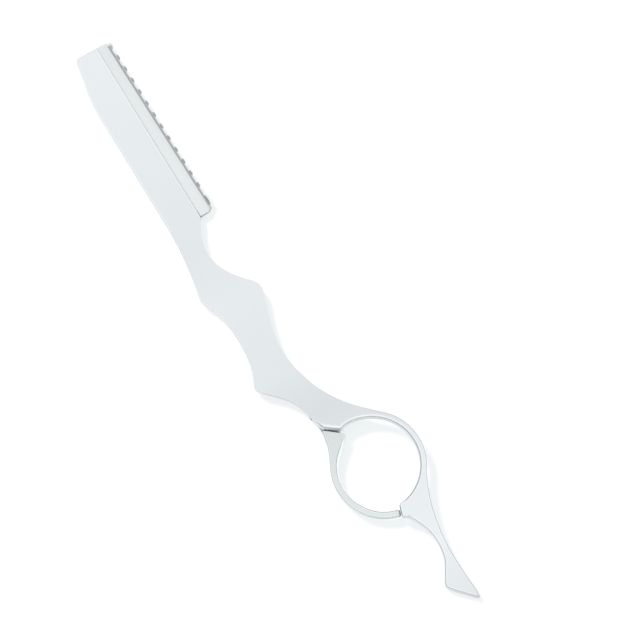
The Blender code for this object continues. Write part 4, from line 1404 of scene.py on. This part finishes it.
@dataclass
class PivotWorks:
    """Bracket, pin, rivets, heel peg and torsion spring."""

    pin_radius: float = 0.00055
    pin_rounding: float = 0.0002
    head_radius: float = 0.00085
    head: float = 0.0003
    ears: tuple[float, float] = (-0.00155, 0.00575)
    bracket_low: float = 0.00195
    bracket_bevel: float = 0.00008
    head_gap: float = 0.00005
    rivet_radius: float = 0.0005
    rivet_face_radius: float = 0.0007
    rivet_head_radius: float = 0.00095
    rivet_head: float = 0.0003
    rivet_depth: float = 0.00105
    rivet_rounding: float = 0.00015
    rivets: dict[str, tuple[float, float]] = field(
        default_factory=lambda: {"front": (-0.007, 0.0002), "rear": (-0.0044, 0.0014)}
    )
    peg: tuple[float, float] = (-0.0699, 0.0016)
    peg_radius: float = 0.0007
    peg_rounding: float = 0.0002
    peg_z: tuple[float, float] = (0.0017, 0.0041)
    coil_radius: float = 0.00085
    coil_turns: float = 3.5
    coil_steps: int = 180
    coil_y: tuple[float, float] = (0.0030, 0.0012)
    twist_y: tuple[float, float] = (0.0028, 0.0014)
    wire_radius: float = 0.0002
    bend_x: tuple[float, float] = (0.0008, 0.003)
    leg_x: tuple[float, float] = (0.0004, 0.0064)
    leg_steps: int = 24
    leg_z: tuple[float, float] = (0.00215, 0.00165)
    turned: Steel = Steel("turned_steel", (0.66, 0.67, 0.69), 0.28, lines=3000.0, stretch=1.0)
    pressed: Steel = Steel("pressed_steel", (0.62, 0.63, 0.65), 0.42, lines=1500.0)
    drawn: Steel = Steel("spring_steel", (0.45, 0.46, 0.48), 0.32, lines=4000.0, stretch=0.3)

    def spring_path(self) -> Array:
        """Upper leg, helix round the pin and lower leg.

        The helix is (radius cos a, y, radius sin a) with y falling evenly with a.
        Each leg leaves it level and goes over, by a smooth step, to the bow of the
        leaf that it lies on.
        """
        share = np.linspace(0, 1, self.coil_steps)
        turn = math.pi / 2 + math.tau * self.coil_turns * share
        high_y, low_y = self.coil_y
        circle = self.coil_radius * np.column_stack([np.cos(turn), np.sin(turn)])
        coil_y = np.linspace(high_y, low_y, self.coil_steps)
        coil = np.column_stack([circle[:, 0], coil_y, PIN_LEVEL + circle[:, 1]])
        x = np.linspace(*self.leg_x, self.leg_steps)
        bend, rest = self.bend_x
        ease = swell((x - bend) / (rest - bend))
        legs = []
        for y, side, lift in ((high_y, 1, self.leg_z[0]), (low_y, -1, self.leg_z[1])):
            root = PIN_LEVEL + side * self.coil_radius
            z = root + (lift + BOW.height(x) - root) * ease
            legs.append(np.column_stack([x, np.full(len(x), y), z]))
        return np.vstack([legs[0][::-1], coil, legs[1]])

    def lathed_pieces(self) -> dict[str, tuple[str, Shell]]:
        """Pin, rivets and peg: the name of each piece, with its shell, by CAD node."""
        low, high = self.ears
        pin = [(self.head_radius, low - self.head), (self.head_radius, low)]
        pin += [(self.pin_radius, low), (self.pin_radius, high)]
        pin += [(self.head_radius, high), (self.head_radius, high + self.head)]
        top = self.bracket_low - self.head_gap
        rivet = [(self.rivet_face_radius, top - self.rivet_head)]
        rivet += [(self.rivet_head_radius, top - self.rivet_head / 2)]
        rivet += [(self.rivet_head_radius, top), (self.rivet_radius, top)]
        rivet += [(self.rivet_radius, UpperLeaf.low + self.rivet_depth)]
        peg = [(self.peg_radius, z) for z in self.peg_z]
        pieces = {"pivot_pin": ("hinge_pin", along_pin(lathed(pin, self.pin_rounding)))}
        for name, place in self.rivets.items():
            shell = standing(lathed(rivet, self.rivet_rounding), place)
            pieces[f"bracket_rivet_{name}"] = (f"rivet_{name}", shell)
        shell = standing(lathed(peg, self.peg_rounding), self.peg)
        return {**pieces, "heel_peg": ("stop_peg", shell)}

    def build(self, groups: dict[str, bpy.types.ShaderNodeTree]) -> None:
        """Makes the turned pieces and the spring, and dresses the bracket.

        The spring's legs lie along the two leaves, and its coil winds between them.
        """
        steel = self.turned.material(groups)
        for node, (name, shell) in self.lathed_pieces().items():
            add_piece(shell.mesh(name), Body.UPPER, steel, "turned_steel", node)
        drawn = self.drawn.material(groups)
        mesh = tube(self.spring_path(), self.wire_radius).mesh("jaw_spring")
        spring = add_piece(mesh, None, drawn, "spring_steel", "torsion_spring")
        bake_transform(spring)
        dress("pivot_bracket", self.pressed.material(groups), self.bracket_bevel)


def dress(node: str, material: bpy.types.Material, bevel: float) -> None:
    """Gives a CAD node its finish, rounded corners and smooth shading.

    Args:
        node: Name of the node.
        material: Its finish.
        bevel: Reach of the rounding on its corners, or 0 for none.
    """
    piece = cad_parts[node]
    for slot in piece.material_slots:
        slot.material = material
    if not piece.material_slots:
        piece.data.materials.append(material)
    piece.modifiers.new("weld", "WELD").merge_threshold = MERGE
    if bevel:
        rounding = piece.modifiers.new("rounding", "BEVEL")
        rounding.width = bevel
        rounding.segments = 3
        rounding.limit_method = "ANGLE"
        rounding.angle_limit = SHARP
        rounding.use_clamp_overlap = True
    smooth = piece.modifiers.new("smooth", "NODES")
    smooth.node_group = bpy.data.node_groups.get("smooth_by_angle") or smooth_group()
    piece.modifiers.new("flat_faces", "WEIGHTED_NORMAL").keep_sharp = True
    log.info("%s: CAD node dressed as %s", node, material.name)


def smooth_group() -> bpy.types.GeometryNodeTree:
    """Smooth shading that stays sharp at edges steeper than SHARP."""
    tree = bpy.data.node_groups.new("smooth_by_angle", "GeometryNodeTree")
    for way in ("INPUT", "OUTPUT"):
        tree.interface.new_socket("Mesh", in_out=way, socket_type="NodeSocketGeometry")
    angle = add_node(tree, "GeometryNodeInputMeshEdgeAngle").outputs["Unsigned Angle"]
    compared = {"data_type": "FLOAT", "operation": "GREATER_THAN"}
    steep = add_node(tree, "FunctionNodeCompare", {0: angle, 1: SHARP}, **compared).outputs[0]
    whole = {"Geometry": add_node(tree, "NodeGroupInput").outputs[0]}
    faces = add_node(tree, "GeometryNodeSetShadeSmooth", whole, domain="FACE").outputs[0]
    sharp = {"Geometry": faces, "Selection": steep, "Shade Smooth": False}
    edges = add_node(tree, "GeometryNodeSetShadeSmooth", sharp, domain="EDGE").outputs[0]
    add_node(tree, "NodeGroupOutput", {0: edges})
    return tree


# Studio


@dataclass
class Studio:
    """White table, soft light and the camera of the photograph.

    The picture is laid out on the table with its right and its top as axes. The razor
    lies turned in it, so the picture's axes are turned into the model's frame here.
    """

    distance: float = 0.619149
    tilt: float = 18.0
    lens: float = 120.0
    sensor: float = 36.0
    heading: float = -58.687
    pin_in_picture: tuple[float, float] = (-0.001418, -0.029160)
    floor_size: float = 6.0
    floor_drop: float = 0.00006
    floor_colour: tuple[float, float, float] = (0.14, 0.14, 0.14)
    floor_lift: float = 0.80
    floor_tint: tuple[float, float, float] = (0.962, 0.99, 1.0)
    floor_gap: tuple[float, float] = (0.1, 0.34)
    gap_reach: float = 0.009
    gap_samples: int = 16
    key_power: float = 15.0
    key_size: float = 0.24
    key_spot: tuple[float, float] = (-0.36, 0.30)
    key_height: float = 0.6
    sky: float = 1.19
    horizon: float = 0.5
    sky_tint: tuple[float, float, float] = (0.975, 0.995, 1.0)
    sky_middle: tuple[float, float, float] = (0.12, -0.12, 0.985)
    sky_edges: tuple[float, float] = (0.35, 0.87)

    def turned(self, right: float, top: float, up: float) -> Vector:
        """A direction given along the picture's right, its top and up from the table."""
        angle = math.radians(self.heading)
        c, s = math.cos(angle), math.sin(angle)
        return Vector((c * right + s * top, -s * right + c * top, up))

    def placed(self, right: float, top: float, up: float) -> Vector:
        """A place given from the picture's middle on the table."""
        x, y = self.pin_in_picture
        return self.turned(right - x, top - y, up) + Vector(PIN_PLACE)

    def camera(self) -> None:
        """Camera over the table, leaning back by the tilt."""
        lean = math.radians(self.tilt)
        place = self.placed(0, -self.distance * math.sin(lean), self.distance * math.cos(lean))
        right = self.turned(1, 0, 0)
        top = self.turned(0, math.cos(lean), math.sin(lean))
        back = self.turned(0, -math.sin(lean), math.cos(lean))
        data = bpy.data.cameras.new("camera")
        data.lens = self.lens
        data.sensor_width = self.sensor
        data.clip_start = 0.01
        camera = new_object("camera", data)
        turn = Matrix((right, top, back)).transposed().to_4x4()
        camera.matrix_world = Matrix.Translation(place) @ turn
        bpy.context.scene.camera = camera

    def key(self) -> None:
        """Soft lamp over the blade, so that ring and tail throw a faint shadow."""
        data = bpy.data.lights.new("key", "AREA")
        data.shape = "DISK"
        data.size = self.key_size
        data.energy = self.key_power
        lamp = new_object("key", data)
        lamp.location = self.placed(*self.key_spot, self.key_height)
        lamp.visible_glossy = False

    def world(self) -> None:
        """Dome of light, brightest near the zenith, plain white to the camera.

        The strength at a direction is a smooth step between the horizon's and the
        sky's, taken on the cosine of its angle from the brightest direction.
        """
        world = bpy.data.worlds.new("dome")
        bpy.context.scene.world = world
        world.use_nodes = True
        tree = world.node_tree
        heading = add_node(tree, "ShaderNodeTexCoord").outputs["Generated"]
        product = {0: heading, 1: self.turned(*self.sky_middle)}
        toward = add_node(tree, "ShaderNodeVectorMath", product, operation="DOT_PRODUCT")
        ends = (self.horizon, self.sky)
        light = smooth_range(tree, toward.outputs["Value"], self.sky_edges, ends)
        path = add_node(tree, "ShaderNodeLightPath").outputs
        seen = maths(tree, "MAXIMUM", path["Is Camera Ray"], path["Is Transmission Ray"])
        mixed = {"Factor": seen, "A": light, "B": 1.0}
        shown = add_node(tree, "ShaderNodeMix", mixed, data_type="FLOAT").outputs["Result"]
        background = tree.nodes["Background"].inputs
        feed(tree, background["Strength"], shown)
        feed(tree, background["Color"], (*self.sky_tint, 1))

    def floor_finish(self) -> bpy.types.Material:
        """Matt table, lifted to white for the camera, for gloss and for glass.

        The lift stays out of deep gaps, where most of the sky is hidden.
        """
        material = bpy.data.materials.new("white_table")
        material.use_nodes = True
        tree = material.node_tree
        tree.nodes.remove(tree.nodes["Principled BSDF"])
        matt = add_node(tree, "ShaderNodeBsdfDiffuse", {"Color": (*self.floor_colour, 1)})
        path = add_node(tree, "ShaderNodeLightPath").outputs
        seen = maths(tree, "MAXIMUM", path["Is Camera Ray"], path["Is Glossy Ray"])
        seen = maths(tree, "MAXIMUM", seen, path["Is Transmission Ray"])
        reach = {"Distance": self.gap_reach}
        sky = add_node(tree, "ShaderNodeAmbientOcclusion", reach, samples=self.gap_samples)
        glow = maths(tree, "MULTIPLY", seen, smooth_range(tree, sky.outputs["AO"], self.floor_gap))
        glow = maths(tree, "MULTIPLY", glow, self.floor_lift)
        glowing = {"Color": (*self.floor_tint, 1), "Strength": glow}
        lift = add_node(tree, "ShaderNodeEmission", glowing)
        summed = add_node(tree, "ShaderNodeAddShader", {0: matt.outputs[0], 1: lift.outputs[0]})
        feed(tree, tree.nodes["Material Output"].inputs["Surface"], summed.outputs[0])
        return material

    def floor(self) -> None:
        """White table under the razor."""
        half = self.floor_size / 2
        mesh = bpy.data.meshes.new("table_top")
        corners = [(-half, -half), (half, -half), (half, half), (-half, half)]
        mesh.from_pydata([(x, y, -self.floor_drop) for x, y in corners], [], [(0, 1, 2, 3)])
        floor = new_object("table_top", mesh)
        mesh.materials.append(self.floor_finish())

    def build(self) -> None:
        """Sets up table, light and camera, with plain colours in the picture."""
        self.camera()
        self.key()
        self.world()
        self.floor()
        bpy.context.scene.view_settings.view_transform = "Standard"


def main() -> None:
    """Builds the razor piece by piece and sets up the studio."""
    logging.basicConfig(level=logging.INFO, format="%(name)s: %(message)s")
    groups = {"grain": grain_group(), "wear": wear_group()}
    for part in (UpperLeaf(), LowerLeaf(), Cartridge(), PivotWorks()):
        part.build(groups)
        log.info("%s built", type(part).__name__)
    Studio().build()


if __name__ == "__main__":
    main()
